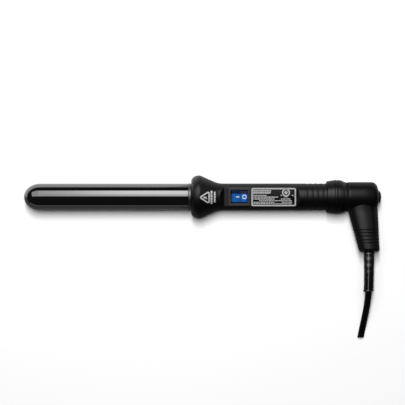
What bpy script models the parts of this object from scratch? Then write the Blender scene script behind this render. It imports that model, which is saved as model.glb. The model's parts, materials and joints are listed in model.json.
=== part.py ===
"""Curling wand: heated barrel, clamshell handle with flared guard, rocker
switch, rating label and a swivelling cord elbow.

Working frame (millimetres): x runs along the wand axis from the barrel tip
to the rear, z is height above the axis, and the cord leaves towards -y.
"Reach" is the distance from the axis towards the cord, so y = -reach.
Parts are moved into the world frame (metres) when they are placed.
"""
import math

import bmesh
import bpy
from mathutils import Matrix, Vector

# ---------------------------------------------------------------- frame
MM = 0.001
ORIGIN_X = 166.0      # working x of the world origin
AXIS_Y = 56.025       # wand axis in the world
AXIS_Z = 20.05

# facets of round parts
SIDES_LARGE = 32
SIDES_COLLAR = 24
SIDES_MEDIUM = 20
SIDES_BOSS = 16
SIDES_SMALL = 12
SMOOTH_ANGLE = math.radians(35.0)   # edges sharper than this stay crisp

# ---------------------------------------------------------------- shared dimensions
BARREL_SCREW_X = 161.6
BARREL_END_X = 165.2
NECK_RADIUS = 11.95   # barrel neck held by the socket

HANDLE_RADIUS = 12.5
STEP_RADIUS = 12.2    # rear end of the shells, under the collar
BEARING_RADIUS = 8.9  # bore around the swivel spindle

PANEL_Z = 8.7         # flat panel carrying the switch and the label
SWITCH_X = 199.9
SWITCH_LENGTH, SWITCH_WIDTH = 19.0, 13.4

ELBOW_X = 300.6       # front face of the elbow
LEG_LIFT = 7.5        # the cord leg rests a little above level, degrees
SWIVEL = (ELBOW_X, 0.0, 0.0)

# ---------------------------------------------------------------- colours
BLACK = (0.012, 0.012, 0.013)
GLOSS_BLACK = (0.006, 0.006, 0.007)
CORD_BLACK = (0.015, 0.015, 0.016)
DARK_GREY = (0.05, 0.05, 0.052)
SOFT_BLACK = (0.02, 0.02, 0.02)
STEEL = (0.62, 0.62, 0.63)
ALUMINIUM = (0.72, 0.72, 0.74)
BRASS = (0.72, 0.55, 0.25)
COPPER = (0.75, 0.42, 0.25)
PHENOLIC = (0.20, 0.10, 0.05)
MICA = (0.70, 0.62, 0.48)
CERAMIC = (0.16, 0.15, 0.15)
FUSE_GREY = (0.75, 0.75, 0.70)
SPINDLE_BEIGE = (0.55, 0.53, 0.48)
CLAMP_BEIGE = (0.5, 0.48, 0.42)
ROCKER_BLUE = (0.02, 0.11, 0.42)
WIRE_BROWN = (0.30, 0.12, 0.05)
WIRE_BLUE = (0.03, 0.12, 0.5)


# ---------------------------------------------------------------- outlines
def about(centre, half):
    """Range reaching half to each side of centre."""
    return centre - half, centre + half


def mirrored(sign, near, far):
    """Range near..far on the positive or the negative side."""
    return tuple(sorted((sign * near, sign * far)))


def arc(centre, radii, start, end, steps, first=0):
    """Points on an elliptical arc between two angles in degrees."""
    points = []
    for i in range(first, steps + 1):
        angle = math.radians(start + (end - start) * i / steps)
        points.append((centre[0] + radii[0] * math.cos(angle),
                       centre[1] + radii[1] * math.sin(angle)))
    return points


def rounded_rect(x_range, half_width, radius):
    """Rectangle with rounded corners, centred on y = 0."""
    low, high = x_range[0] + radius, x_range[1] - radius
    side = half_width - radius
    points = []
    for i, corner in enumerate(((high, side), (low, side), (low, -side), (high, -side))):
        points += arc(corner, (radius, radius), 90 * i, 90 * i + 90, 3)
    return points


# ---------------------------------------------------------------- meshes
def face_outward(bm):
    bmesh.ops.recalc_face_normals(bm, faces=bm.faces)
    if bm.calc_volume(signed=True) < 0:
        bmesh.ops.reverse_faces(bm, faces=bm.faces)


def new_mesh(verts, faces):
    mesh = bpy.data.meshes.new("part")
    mesh.from_pydata(verts, [], faces)
    bm = bmesh.new()
    bm.from_mesh(mesh)
    face_outward(bm)
    bm.to_mesh(mesh)
    bm.free()
    return mesh


def skin(rings, closed):
    """Mesh over rings of points; a one-point ring is a pole.
    A closed skin joins its last ring to the first, an open one is capped."""
    verts, loops = [], []
    for ring in rings:
        loops.append(range(len(verts), len(verts) + len(ring)))
        verts += ring
    faces = []
    for i in range(len(loops) if closed else len(loops) - 1):
        near, far = loops[i], loops[(i + 1) % len(loops)]
        count = max(len(near), len(far))
        if count == 1:
            continue
        for j in range(count):
            k = (j + 1) % count
            if len(near) == 1:
                faces.append((near[0], far[k], far[j]))
            elif len(far) == 1:
                faces.append((near[j], near[k], far[0]))
            else:
                faces.append((near[j], near[k], far[k], far[j]))
    if not closed:
        faces += [tuple(reversed(loops[0])), tuple(loops[-1])]
    return new_mesh(verts, faces)


def lathe(profile, sides=SIDES_LARGE, centre=(0.0, 0.0)):
    """Revolve a closed (x, radius) loop about an axis parallel to x."""
    rings = []
    for x, radius in profile:
        if radius < 1e-9:
            rings.append([(x, centre[0], centre[1])])
            continue
        ring = []
        for j in range(sides):
            angle = 2 * math.pi * j / sides
            ring.append((x, centre[0] + radius * math.cos(angle),
                         centre[1] + radius * math.sin(angle)))
        rings.append(ring)
    return skin(rings, True)


def prism(outline, axis, limits):
    """Extrude an outline: (y, z) along 'x', (x, z) along 'y', (x, y) along 'z'."""
    slot = 'xyz'.index(axis)
    return skin([[(*p[:slot], level, *p[slot:]) for p in outline] for level in limits], False)


def box(x_range, y_range, z_range):
    (x0, x1), (y0, y1) = x_range, y_range
    return prism([(x0, y0), (x1, y0), (x1, y1), (x0, y1)], 'z', z_range)


def rod(axis, centre, radius, limits, sides=SIDES_SMALL, phase=0.0):
    """Round bar along an axis; centre holds the two other coordinates."""
    outline = []
    for i in range(sides):
        angle = 2 * math.pi * i / sides + phase
        outline.append((centre[0] + radius * math.cos(angle),
                        centre[1] + radius * math.sin(angle)))
    return prism(outline, axis, limits)


def loft(rows, sides, inner=()):
    """Skin of ellipses in planes of constant reach.
    rows: (reach, x, z, semi-axis in x, semi-axis in z). Inner rows make a tube."""
    rings = []
    for reach, x, z, half_x, half_z in [*rows, *reversed(inner)]:
        ring = []
        for j in range(sides):
            angle = 2 * math.pi * j / sides
            ring.append((x + half_x * math.cos(angle), -reach, z + half_z * math.sin(angle)))
        rings.append(ring)
    return skin(rings, bool(inner))


def tangents(path):
    last = len(path) - 1
    return [(path[min(i + 1, last)] - path[max(i - 1, 0)]).normalized()
            for i in range(len(path))]


def sweep(path, radius, sides):
    """Round bar along a path of Vectors, with flat ends."""
    rings = []
    across = Vector((0, 0, 1))
    for point, tangent in zip(path, tangents(path)):
        across = (across - tangent * across.dot(tangent)).normalized()
        other = tangent.cross(across)
        ring = []
        for j in range(sides):
            angle = 2 * math.pi * j / sides
            ring.append(tuple(point + across * (radius * math.cos(angle))
                              + other * (radius * math.sin(angle))))
        rings.append(ring)
    return skin(rings, False)


def spline(points, step):
    """Catmull-Rom curve through the points, sampled about every step mm."""
    knots = [Vector(p) for p in points]
    knots = [knots[0] * 2 - knots[1]] + knots + [knots[-1] * 2 - knots[-2]]
    path = []
    for i in range(1, len(knots) - 2):
        before, start, end, after = knots[i - 1:i + 3]
        count = max(2, int(round((end - start).length / step)))
        for j in range(count):
            u = j / count
            path.append(0.5 * ((2 * start) + (end - before) * u
                               + (2 * before - 5 * start + 4 * end - after) * u * u
                               + (3 * start - before - 3 * end + after) * u ** 3))
    path.append(knots[-2])
    return path


def combine(base, *steps):
    """Apply exact Boolean steps ('+', '-' or '&', mesh) in order."""
    operations = {'+': 'UNION', '-': 'DIFFERENCE', '&': 'INTERSECT'}
    work = bpy.data.objects.new("work", base)
    bpy.context.scene.collection.objects.link(work)
    for sign, tool_mesh in steps:
        tool = bpy.data.objects.new("tool", tool_mesh)
        bpy.context.scene.collection.objects.link(tool)
        tool.hide_render = True
        modifier = work.modifiers.new("boolean", 'BOOLEAN')
        modifier.operation = operations[sign]
        modifier.solver = 'EXACT'
        modifier.object = tool
        bpy.context.view_layer.update()
        depsgraph = bpy.context.evaluated_depsgraph_get()
        result = bpy.data.meshes.new_from_object(work.evaluated_get(depsgraph))
        work.modifiers.clear()
        work.data = result
        bpy.data.objects.remove(tool, do_unlink=True)
    mesh = work.data
    bpy.data.objects.remove(work, do_unlink=True)
    # merge the slivers that Boolean steps leave behind
    bm = bmesh.new()
    bm.from_mesh(mesh)
    bmesh.ops.remove_doubles(bm, verts=bm.verts, dist=2e-4)
    bmesh.ops.dissolve_degenerate(bm, dist=2e-4, edges=bm.edges)
    face_outward(bm)
    bm.to_mesh(mesh)
    bm.free()
    return mesh


def turn(mesh, degrees, axis, centre):
    """Turn a mesh about an axis through a point."""
    shift = Matrix.Translation(Vector(centre))
    rotation = Matrix.Rotation(math.radians(degrees), 4, axis)
    mesh.transform(shift @ rotation @ shift.inverted())
    return mesh


def lift(mesh):
    """Turn a swivelling part, drawn level, up with the cord leg."""
    return turn(mesh, -LEG_LIFT, 'X', SWIVEL)


# ---------------------------------------------------------------- placing
def world(x, y, z):
    return Vector(((x - ORIGIN_X) * MM, (AXIS_Y + y) * MM, (AXIS_Z + z) * MM))


def make_material(name, colour, metallic, rough):
    material = bpy.data.materials.new(name)
    material.use_nodes = True
    shader = material.node_tree.nodes["Principled BSDF"]
    shader.inputs["Base Color"].default_value = (*colour, 1.0)
    shader.inputs["Metallic"].default_value = metallic
    shader.inputs["Roughness"].default_value = rough
    return material


def place(name, mesh, colour, rough, metallic=0.0, pivot=None, smooth=True):
    """Finish a part: metres, world position, origin at the pivot, own material."""
    origin = world(*pivot) if pivot else Vector((0.0, 0.0, 0.0))
    shift = world(0.0, 0.0, 0.0) - origin
    for vertex in mesh.vertices:
        vertex.co = vertex.co * MM + shift
    mesh.name = name
    part = bpy.data.objects.new(name, mesh)
    bpy.context.scene.collection.objects.link(part)
    part.location = origin
    mesh.materials.clear()
    mesh.materials.append(make_material("mat_" + name, colour, metallic, rough))
    if smooth:
        mesh.polygons.foreach_set("use_smooth", [True] * len(mesh.polygons))
        mesh.set_sharp_from_angle(angle=SMOOTH_ANGLE)
    mesh.update()


for old in list(bpy.data.objects):
    bpy.data.objects.remove(old, do_unlink=True)

# ---------------------------------------------------------------- barrel
BARREL_RADIUS = 12.5
BARREL_WALL = 1.5
TIP_LENGTH = 15.0
SHOULDER_X = 152.75
SCREW_PHASE = 0.13    # facet offset of the two side screw holes, radians


def tip_points(start, radius, angles):
    """Quarter ellipse of the domed tip, ending at TIP_LENGTH."""
    return [(start + (TIP_LENGTH - start) * (1 - math.cos(math.radians(a))),
             radius * math.sin(math.radians(a))) for a in angles]


barrel_bore = BARREL_RADIUS - BARREL_WALL
barrel_profile = [
    *tip_points(0.0, BARREL_RADIUS, (0, 12, 26, 42, 58, 74, 90)),
    (SHOULDER_X, BARREL_RADIUS), (SHOULDER_X, NECK_RADIUS),
    (BARREL_END_X, NECK_RADIUS), (BARREL_END_X, barrel_bore),
    *tip_points(BARREL_WALL, barrel_bore, (90, 66, 40, 18, 0))]
barrel = combine(lathe(barrel_profile),
                 ('-', rod('y', (BARREL_SCREW_X, 0.0), 1.2, about(0.0, 14.0),
                           phase=SCREW_PHASE)))
place("barrel", barrel, GLOSS_BLACK, rough=0.12)

# trim ring between barrel and guard
RING_X0, RING_X1 = 153.0, 155.3
RING_BORE, RING_RADIUS = 12.1, 12.6
CHAMFER_X, CHAMFER_RADIAL = 0.15, 0.12
ring_profile = [
    (RING_X0, RING_BORE), (RING_X0, RING_RADIUS - CHAMFER_RADIAL),
    (RING_X0 + CHAMFER_X, RING_RADIUS), (RING_X1 - CHAMFER_X, RING_RADIUS),
    (RING_X1, RING_RADIUS - CHAMFER_RADIAL), (RING_X1, RING_BORE)]
place("barrel_trim_ring", lathe(ring_profile, 28), STEEL, rough=0.35, metallic=1.0)

# ---------------------------------------------------------------- heater
SPREADER_RADIUS, SPREADER_WALL = 10.75, 1.9
SPREADER_X = (22.0, 146.0)


def d_section(flat_z, radius, steps, sign):
    """Segment of a circle beyond the level flat_z, above or below the axis."""
    angle = math.degrees(math.asin(flat_z / radius))
    points = arc((0, 0), (radius, radius), angle, 180 - angle, steps)
    return [(y, sign * z) for y, z in points]


for name, sign in (("heat_spreader_upper", 1), ("heat_spreader_lower", -1)):
    solid = prism(d_section(1.65, SPREADER_RADIUS, 12, sign), 'x', SPREADER_X)
    hollow = prism(d_section(3.3, SPREADER_RADIUS - SPREADER_WALL, 10, sign), 'x',
                   (SPREADER_X[0] - 1, SPREADER_X[1] + 1))
    place(name, combine(solid, ('-', hollow)), ALUMINIUM, rough=0.4, metallic=1.0)

CHIP_LENGTH, CHIP_WIDTH, CHIP_THICK = 28.0, 11.0, 2.0
CHIP_X, CHIP_PITCH = 45.0, 39.0
for i in range(3):
    chip = box(about(CHIP_X + CHIP_PITCH * i, CHIP_LENGTH / 2),
               about(0.0, CHIP_WIDTH / 2), about(0.0, CHIP_THICK / 2))
    place("ptc_chip_%d" % (i + 1), chip, CERAMIC, rough=0.7, smooth=False)

# each strip narrows to a tail, set off to its own side
STRIP_X0, STRIP_X1, TAIL_X0 = 25.0, 144.0, 146.0
STRIP_HALF, TAIL_HALF = 5.0, 1.5
for name, sign, tail_x1 in (("electrode_strip_upper", 1, 150.0),
                            ("electrode_strip_lower", -1, 148.0)):
    tail_low, tail_high = about(sign * 1.0, TAIL_HALF)
    outline = [
        (STRIP_X0, -STRIP_HALF), (STRIP_X1, -STRIP_HALF), (TAIL_X0, tail_low),
        (tail_x1, tail_low), (tail_x1, tail_high), (TAIL_X0, tail_high),
        (STRIP_X1, STRIP_HALF), (STRIP_X0, STRIP_HALF)]
    place(name, prism(outline, 'z', mirrored(sign, 1.1, 1.5)), BRASS,
          rough=0.35, metallic=1.0, smooth=False)

FUSE_CENTRE = (4.5, -3.2)    # y, z
FUSE_PROFILE = [             # x, radius: lead, body, lead
    (147.5, 0), (147.5, 0.45), (150.5, 0.45), (151.1, 1.7),
    (158.6, 1.7), (159.2, 0.45), (162.8, 0.45), (162.8, 0)]
place("thermal_fuse", lathe(FUSE_PROFILE, SIDES_SMALL, FUSE_CENTRE), FUSE_GREY,
      rough=0.4, metallic=0.3)

# ---------------------------------------------------------------- barrel seat
SOCKET_X0, SOCKET_X1 = 158.45, 168.2
SOCKET_RADIUS = 14.7
SOCKET_BORE = NECK_RADIUS + 0.15
SOCKET_LIP = 9.6                  # bore behind the barrel end
SOCKET_STOP_X = BARREL_END_X + 0.2
socket_profile = [
    (SOCKET_X0, SOCKET_BORE), (SOCKET_X0, SOCKET_RADIUS), (SOCKET_X1, SOCKET_RADIUS),
    (SOCKET_X1, SOCKET_LIP), (SOCKET_STOP_X, SOCKET_LIP), (SOCKET_STOP_X, SOCKET_BORE)]


def barrel_screw_rod(radius, limits, phase=0.0):
    """Bar across the wand on the line of the two barrel screws."""
    return rod('y', (BARREL_SCREW_X, 0.0), radius, limits, phase=phase)


# cross hole with a counterbore for the screw head at each end
cross_hole = combine(barrel_screw_rod(1.2, about(0.0, 15.5), SCREW_PHASE),
                     ('+', barrel_screw_rod(1.95, (13.3, 16.0), SCREW_PHASE)),
                     ('+', barrel_screw_rod(1.95, (-16.0, -13.3), SCREW_PHASE)))
place("barrel_socket", combine(lathe(socket_profile), ('-', cross_hole)),
      PHENOLIC, rough=0.6)

MICA_PROFILE = [(168.4, 8.6), (168.4, 14.2), (169.0, 14.2), (169.0, 8.6)]   # x, radius
place("mica_washer", lathe(MICA_PROFILE, SIDES_MEDIUM), MICA, rough=0.6)

for i, sign in ((1, 1), (2, -1)):
    shank = barrel_screw_rod(1.0, mirrored(sign, 10.6, 13.7))
    head = barrel_screw_rod(1.75, mirrored(sign, 13.45, 14.5))
    slot = box(about(BARREL_SCREW_X, 1.9), mirrored(sign, 14.1, 15.0), about(0.0, 0.25))
    place("barrel_screw_%d" % i, combine(shank, ('+', head), ('-', slot)),
          STEEL, rough=0.35, metallic=1.0)

# ---------------------------------------------------------------- handle profile
GUARD_X = 155.5                   # front face of the guard
GUARD_BORE = 12.3
GUARD_FLAT_RADIUS = 14.6          # where the flat face turns into the rim
CREST_X, CREST_RADIUS = 162.5, 20.05
CONE_DEG = 24.1                   # slope from the crest down to the handle
FILLET_END_X = 185.0
STEP_X, SHELL_END_X = 281.0, 298.2
GROOVE_X, GROOVE_PITCH, GROOVE_COUNT = 263.65, 4.95, 4
GROOVE_HALF, GROOVE_DEPTH = 0.9, 0.3

rim = CREST_RADIUS - GUARD_FLAT_RADIUS
slope = math.tan(math.radians(CONE_DEG))
cone_x = CREST_X + rim * math.sin(math.radians(CONE_DEG))
cone_radius = GUARD_FLAT_RADIUS + rim * math.cos(math.radians(CONE_DEG))
cone_foot_x = cone_x + (cone_radius - HANDLE_RADIUS) / slope
fillet = (FILLET_END_X - cone_foot_x) / math.tan(math.radians(CONE_DEG / 2))
shell_outside = [
    (GUARD_X, GUARD_BORE),
    *arc((CREST_X, GUARD_FLAT_RADIUS), (CREST_X - GUARD_X, rim), 180, 90, 6),
    *arc((CREST_X, GUARD_FLAT_RADIUS), (rim, rim), 90, 90 - CONE_DEG, 2, first=1),
    *arc((FILLET_END_X, HANDLE_RADIUS + fillet), (fillet, fillet), 270 - CONE_DEG, 270, 4)]
for i in range(GROOVE_COUNT):
    groove = GROOVE_X + GROOVE_PITCH * i
    shell_outside += [(groove - GROOVE_HALF, HANDLE_RADIUS),
                      (groove, HANDLE_RADIUS - GROOVE_DEPTH),
                      (groove + GROOVE_HALF, HANDLE_RADIUS)]
shell_outside += [(STEP_X, HANDLE_RADIUS), (STEP_X, STEP_RADIUS), (SHELL_END_X, STEP_RADIUS)]

CAVITY_RADIUS = 10.4
REAR_RADIUS = 10.6                # cavity and flange groove at the rear
RIB_RADIUS = 9.0                  # ribs either side of the contact carrier
SHELL_INSIDE = [                  # x, radius, from the rear to the guard
    (SHELL_END_X, BEARING_RADIUS), (293.4, BEARING_RADIUS), (293.4, REAR_RADIUS),
    (289.7, REAR_RADIUS), (289.7, BEARING_RADIUS), (286.2, BEARING_RADIUS),
    (286.2, REAR_RADIUS), (266.4, REAR_RADIUS), (266.4, RIB_RADIUS),
    (265.2, RIB_RADIUS), (265.2, CAVITY_RADIUS), (261.8, CAVITY_RADIUS),
    (261.8, RIB_RADIUS), (260.7, RIB_RADIUS), (260.7, CAVITY_RADIUS),
    (183.0, CAVITY_RADIUS), (169.2, 15.0), (158.2, 15.0), (158.2, GUARD_BORE)]
shell_profile = shell_outside + SHELL_INSIDE

# ---------------------------------------------------------------- handle shells
SPLIT_GAP = 0.1                   # half gap between the shells
SPLIT_X, SPLIT_Y = (150.0, 305.0), (-25.0, 25.0)    # extent of the splitting boxes
PANEL_X0, PANEL_X1 = 185.85, 253.3
FRONT_RAMP, REAR_RAMP = 1.05, 1.75    # rise per mm at the panel ends
PANEL_CUT_Z = 22.0
WEB_Z = PANEL_Z - 1.9             # underside of the solid web below the panel
CASE_SCREW_X = (175.0, 219.0, 251.0)
CASE_HEAD_RADIUS, CASE_SCREW_RADIUS = 2.5, 1.3
CASE_SEAT_Z = -7.5                # seat of the screw heads
TOP_BOSS_Z = (12.9, WEB_Z + 0.8, WEB_Z + 0.8)
BOTTOM_BOSS_Z = (-14.0, -11.4, -11.4)

WEB_ROUND = [                     # x, radius: kept inside the outer skin
    (172.0, 0.0), (172.0, 15.0), (177.0, 13.2), (181.0, 12.2),
    (185.0, 11.7), (260.0, 11.7), (260.0, 0.0)]
WEB_SIDE = [                      # x, z: side view of the web
    (184.6, WEB_Z), (255.3, WEB_Z), (258.5, 12.0),
    (258.5, 16.0), (176.0, 16.0), (176.0, 13.85)]
web = combine(lathe(WEB_ROUND), ('&', prism(WEB_SIDE, 'y', about(0.0, 14.0))))
panel_rise = PANEL_CUT_Z - PANEL_Z
panel_cut = prism([(PANEL_X0, PANEL_Z), (PANEL_X1, PANEL_Z),
                   (PANEL_X1 + panel_rise / REAR_RAMP, PANEL_CUT_Z),
                   (PANEL_X0 - panel_rise / FRONT_RAMP, PANEL_CUT_Z)], 'y', about(0.0, 16.0))
switch_opening = box(about(SWITCH_X, SWITCH_LENGTH / 2 + 0.15),
                     about(0.0, SWITCH_WIDTH / 2 + 0.15), (4.0, 12.0))


def case_rods(sign, radius, limits, sides=SIDES_SMALL):
    """Boolean steps with an upright rod at each case screw."""
    return [(sign, rod('z', (x, 0.0), radius, span, sides))
            for x, span in zip(CASE_SCREW_X, limits)]


top = combine(lathe(shell_profile), ('-', box(SPLIT_X, SPLIT_Y, (-25.0, SPLIT_GAP))),
              ('+', web))
top = combine(top,
              *case_rods('+', 3.4, [(SPLIT_GAP, z) for z in TOP_BOSS_Z], SIDES_BOSS),
              *case_rods('-', CASE_SCREW_RADIUS + 0.15, [(-1.0, 5.4)] * 3),
              ('-', panel_cut), ('-', switch_opening))
place("handle_shell_top", top, BLACK, rough=0.55)

bottom = combine(lathe(shell_profile), ('-', box(SPLIT_X, SPLIT_Y, (-SPLIT_GAP, 25.0))))
bottom = combine(bottom,
                 *case_rods('+', 4.2, [(z, -SPLIT_GAP) for z in BOTTOM_BOSS_Z], SIDES_BOSS),
                 *case_rods('-', CASE_SCREW_RADIUS + 0.25, [(-20.0, 1.0)] * 3),
                 *case_rods('-', CASE_HEAD_RADIUS + 0.35, [(-22.0, CASE_SEAT_Z)] * 3,
                            SIDES_BOSS))
place("handle_shell_bottom", bottom, BLACK, rough=0.55)

RECESS_LONG, RECESS_SHORT = 1.5, 0.35    # half sizes of the cross recess
for i, x in enumerate(CASE_SCREW_X):
    head = rod('z', (x, 0.0), CASE_HEAD_RADIUS, (CASE_SEAT_Z - 2.0, CASE_SEAT_Z - 0.1))
    shank = rod('z', (x, 0.0), CASE_SCREW_RADIUS, (CASE_SEAT_Z - 0.5, 5.0))
    recess_z = (CASE_SEAT_Z - 2.5, CASE_SEAT_Z - 1.0)
    screw = combine(
        head, ('+', shank),
        ('-', box(about(x, RECESS_LONG), about(0.0, RECESS_SHORT), recess_z)),
        ('-', box(about(x, RECESS_SHORT), about(0.0, RECESS_LONG), recess_z)))
    place("handle_screw_%d" % (i + 1), screw, STEEL, rough=0.4, metallic=1.0)

# ---------------------------------------------------------------- rating label
label = prism(rounded_rect((210.9, 252.6), 8.65, 1.2), 'z', (PANEL_Z + 0.08, PANEL_Z + 0.3))
place("rating_label", label, SOFT_BLACK, rough=0.35, smooth=False)

# ---------------------------------------------------------------- switch housing
PIVOT_Z = 6.3
PIVOT = (SWITCH_X, 0.0, PIVOT_Z)
BEZEL_LENGTH, BEZEL_WIDTH, BEZEL_THICK = 20.4, 17.2, 1.45
BEZEL_Z = PANEL_Z + 0.12
SWITCH_FLOOR_Z, SWITCH_BOTTOM_Z = -1.6, -3.0
ROCKER_RADIUS = 8.6               # swing radius of the paddle ends
ROCKER_WIDTH = 11.6
LOAD_X = SWITCH_X + 6.0           # load contact; the line contact is at SWITCH_X

well_y = about(0.0, ROCKER_WIDTH / 2 + 0.15)
body = box(about(SWITCH_X, SWITCH_LENGTH / 2), about(0.0, SWITCH_WIDTH / 2),
           (SWITCH_BOTTOM_Z, BEZEL_Z + 0.5))
bezel = prism(rounded_rect(about(SWITCH_X, BEZEL_LENGTH / 2), BEZEL_WIDTH / 2, 1.2), 'z',
              (BEZEL_Z, BEZEL_Z + BEZEL_THICK))
swing_room = combine(
    rod('y', (SWITCH_X, PIVOT_Z), ROCKER_RADIUS + 0.15, well_y, 48),
    ('-', box(about(SWITCH_X, 12), about(0.0, 8), (-4.0, 1.5))))
housing = combine(
    body, ('+', bezel), ('-', swing_room),
    ('-', box(about(SWITCH_X, 7.9), well_y, (SWITCH_FLOOR_Z, PIVOT_Z))),
    ('-', rod('y', (SWITCH_X, PIVOT_Z), 1.25, about(0.0, 8.0))),
    *[('-', box(about(x, 0.55), about(0.0, 2.6), (-5.0, 0.0))) for x in (SWITCH_X, LOAD_X)])
place("switch_housing", housing, DARK_GREY, rough=0.45)

# ---------------------------------------------------------------- switch mechanism
# The paddle, plunger and spring are drawn level, then turned to the off position.
ROCKER_DEG = 11.0                 # half travel of the paddle
FACET_DEG = 10.0                  # inclination of the two paddle facets
VALLEY = 3.3                      # height of the facets' meeting line above the pivot
PADDLE_LOW = 0.6                  # underside of the paddle above the pivot


def place_rocking(name, mesh, colour, metallic):
    place(name, turn(mesh, ROCKER_DEG, 'Y', PIVOT), colour, rough=0.3,
          metallic=metallic, pivot=PIVOT)


# a facet line meets the swing circle at facet_x
facet = math.tan(math.radians(FACET_DEG))
square_term = 1 + facet * facet
facet_x = (-VALLEY * facet + math.sqrt(
    (VALLEY * facet) ** 2 - square_term * (VALLEY ** 2 - ROCKER_RADIUS ** 2))) / square_term
paddle_rear = arc((0, 0), (ROCKER_RADIUS, ROCKER_RADIUS),
                  math.degrees(math.asin(PADDLE_LOW / ROCKER_RADIUS)),
                  math.degrees(math.atan2(VALLEY + facet * facet_x, facet_x)), 5)
paddle_front = [(-x, z) for x, z in reversed(paddle_rear)]
paddle = [(SWITCH_X + x, PIVOT_Z + z) for x, z in paddle_rear + [(0.0, VALLEY)] + paddle_front]
rocker = combine(
    prism(paddle, 'y', about(0.0, ROCKER_WIDTH / 2)),
    ('+', rod('y', (SWITCH_X, PIVOT_Z), 1.05, about(0.0, 6.6))),
    ('+', rod('z', (SWITCH_X, 0.0), 2.4, (PIVOT_Z - 3.2, PIVOT_Z + 0.9))),
    ('-', rod('z', (SWITCH_X, 0.0), 1.55, (PIVOT_Z - 5.0, PIVOT_Z + 1.8))))
place_rocking("rocker", rocker, ROCKER_BLUE, 0.0)

PLUNGER_PROFILE = [               # height from the pivot, radius
    (-5.4, 0.0), (-5.12, 0.75), (-4.6, 1.1), (-4.1, 1.35), (-0.7, 1.35), (-0.7, 0.0)]
plunger = lathe(PLUNGER_PROFILE, SIDES_SMALL)
plunger.transform(Matrix.Translation(PIVOT) @ Matrix.Rotation(math.radians(-90), 4, 'Y'))
place_rocking("switch_plunger", plunger, STEEL, 1.0)

SPRING_TURNS, STEPS_PER_TURN = 3, 9
SPRING_RADIUS, SPRING_WIRE, SPRING_HEIGHT = 1.15, 0.2, 1.8
coil = []
for i in range(SPRING_TURNS * STEPS_PER_TURN + 1):
    angle = 2 * math.pi * i / STEPS_PER_TURN
    coil.append(Vector((
        SWITCH_X + SPRING_RADIUS * math.cos(angle), SPRING_RADIUS * math.sin(angle),
        PIVOT_Z - 0.35 + SPRING_HEIGHT * i / (SPRING_TURNS * STEPS_PER_TURN))))
place_rocking("switch_spring", sweep(coil, SPRING_WIRE, 5), STEEL, 1.0)

BLADE_Z = 0.3
BLADE_DEG = 6.0                   # half travel of the contact blade
BLADE_PIVOT = (SWITCH_X, 0.0, BLADE_Z - 0.05)
blade = combine(box(about(SWITCH_X, 6.9), about(0.0, 2.2), (BLADE_Z - 0.3, BLADE_Z + 0.2)),
                ('+', rod('z', (LOAD_X, 0.0), 0.8, (BLADE_Z - 0.6, BLADE_Z))))
place("contact_blade", turn(blade, -BLADE_DEG, 'Y', BLADE_PIVOT), COPPER,
      rough=0.3, metallic=1.0, pivot=BLADE_PIVOT)

for name, x, top_z in (("line", SWITCH_X, -0.15), ("load", LOAD_X, -1.2)):
    place("switch_terminal_" + name, box(about(x, 0.4), about(0.0, 2.4), (-9.2, top_z)),
          BRASS, rough=0.35, metallic=1.0, smooth=False)
    receptacle = combine(box(about(x, 1.25), about(0.0, 3.1), (-9.3, -3.6)),
                         ('-', box(about(x, 0.55), about(0.0, 2.55), (-11.0, -2.0))))
    place("receptacle_" + name, receptacle, STEEL, rough=0.4, metallic=1.0, smooth=False)

# ---------------------------------------------------------------- rear collar
COLLAR_X0, COLLAR_X1 = 281.25, 299.4
COLLAR_LIP_X = 298.45             # front of the lip behind the shells
COLLAR_BORE = STEP_RADIUS + 0.2
COLLAR_PROFILE = [                # x, radius: outside, then back along the bore
    (COLLAR_X0, 12.65), (283.0, 14.6), (285.4, 15.1), (287.6, 15.6), (288.3, 15.3),
    (288.9, 15.75), (291.1, 15.75), (291.7, 15.4), (292.4, 15.65), (294.1, 15.45),
    (295.9, 14.65), (297.6, 13.95), (298.9, 13.8), (COLLAR_X1, 13.4),
    (COLLAR_X1, BEARING_RADIUS), (COLLAR_LIP_X, BEARING_RADIUS),
    (COLLAR_LIP_X, COLLAR_BORE), (COLLAR_X0, COLLAR_BORE)]
place("rear_collar", lathe(COLLAR_PROFILE, SIDES_COLLAR), BLACK, rough=0.35)

# ---------------------------------------------------------------- swivel, fixed side
CARRIER_PROFILE = [(262.0, 1.45), (262.0, 10.15), (265.0, 10.15), (265.0, 1.45)]
carrier = combine(lathe(CARRIER_PROFILE, SIDES_MEDIUM),
                  ('-', box((260.0, 268.0), (7.6, 8.5), about(0.0, 2.25))))
place("swivel_contact_carrier", carrier, PHENOLIC, rough=0.6)

LINE_BRUSH_PROFILE = [            # x, radius
    (258.2, 0), (258.2, 1.2), (265.2, 1.2), (265.2, 2.4), (270.0, 2.4),
    (270.6, 1.6), (272.6, 1.6), (273.3, 0.8), (273.3, 0)]
place("brush_line", lathe(LINE_BRUSH_PROFILE, SIDES_SMALL), BRASS, rough=0.3, metallic=1.0)
place("brush_neutral", box((258.2, 282.4), (7.8, 8.3), about(0.0, 2.0)), BRASS,
      rough=0.3, metallic=1.0, smooth=False)

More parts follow.
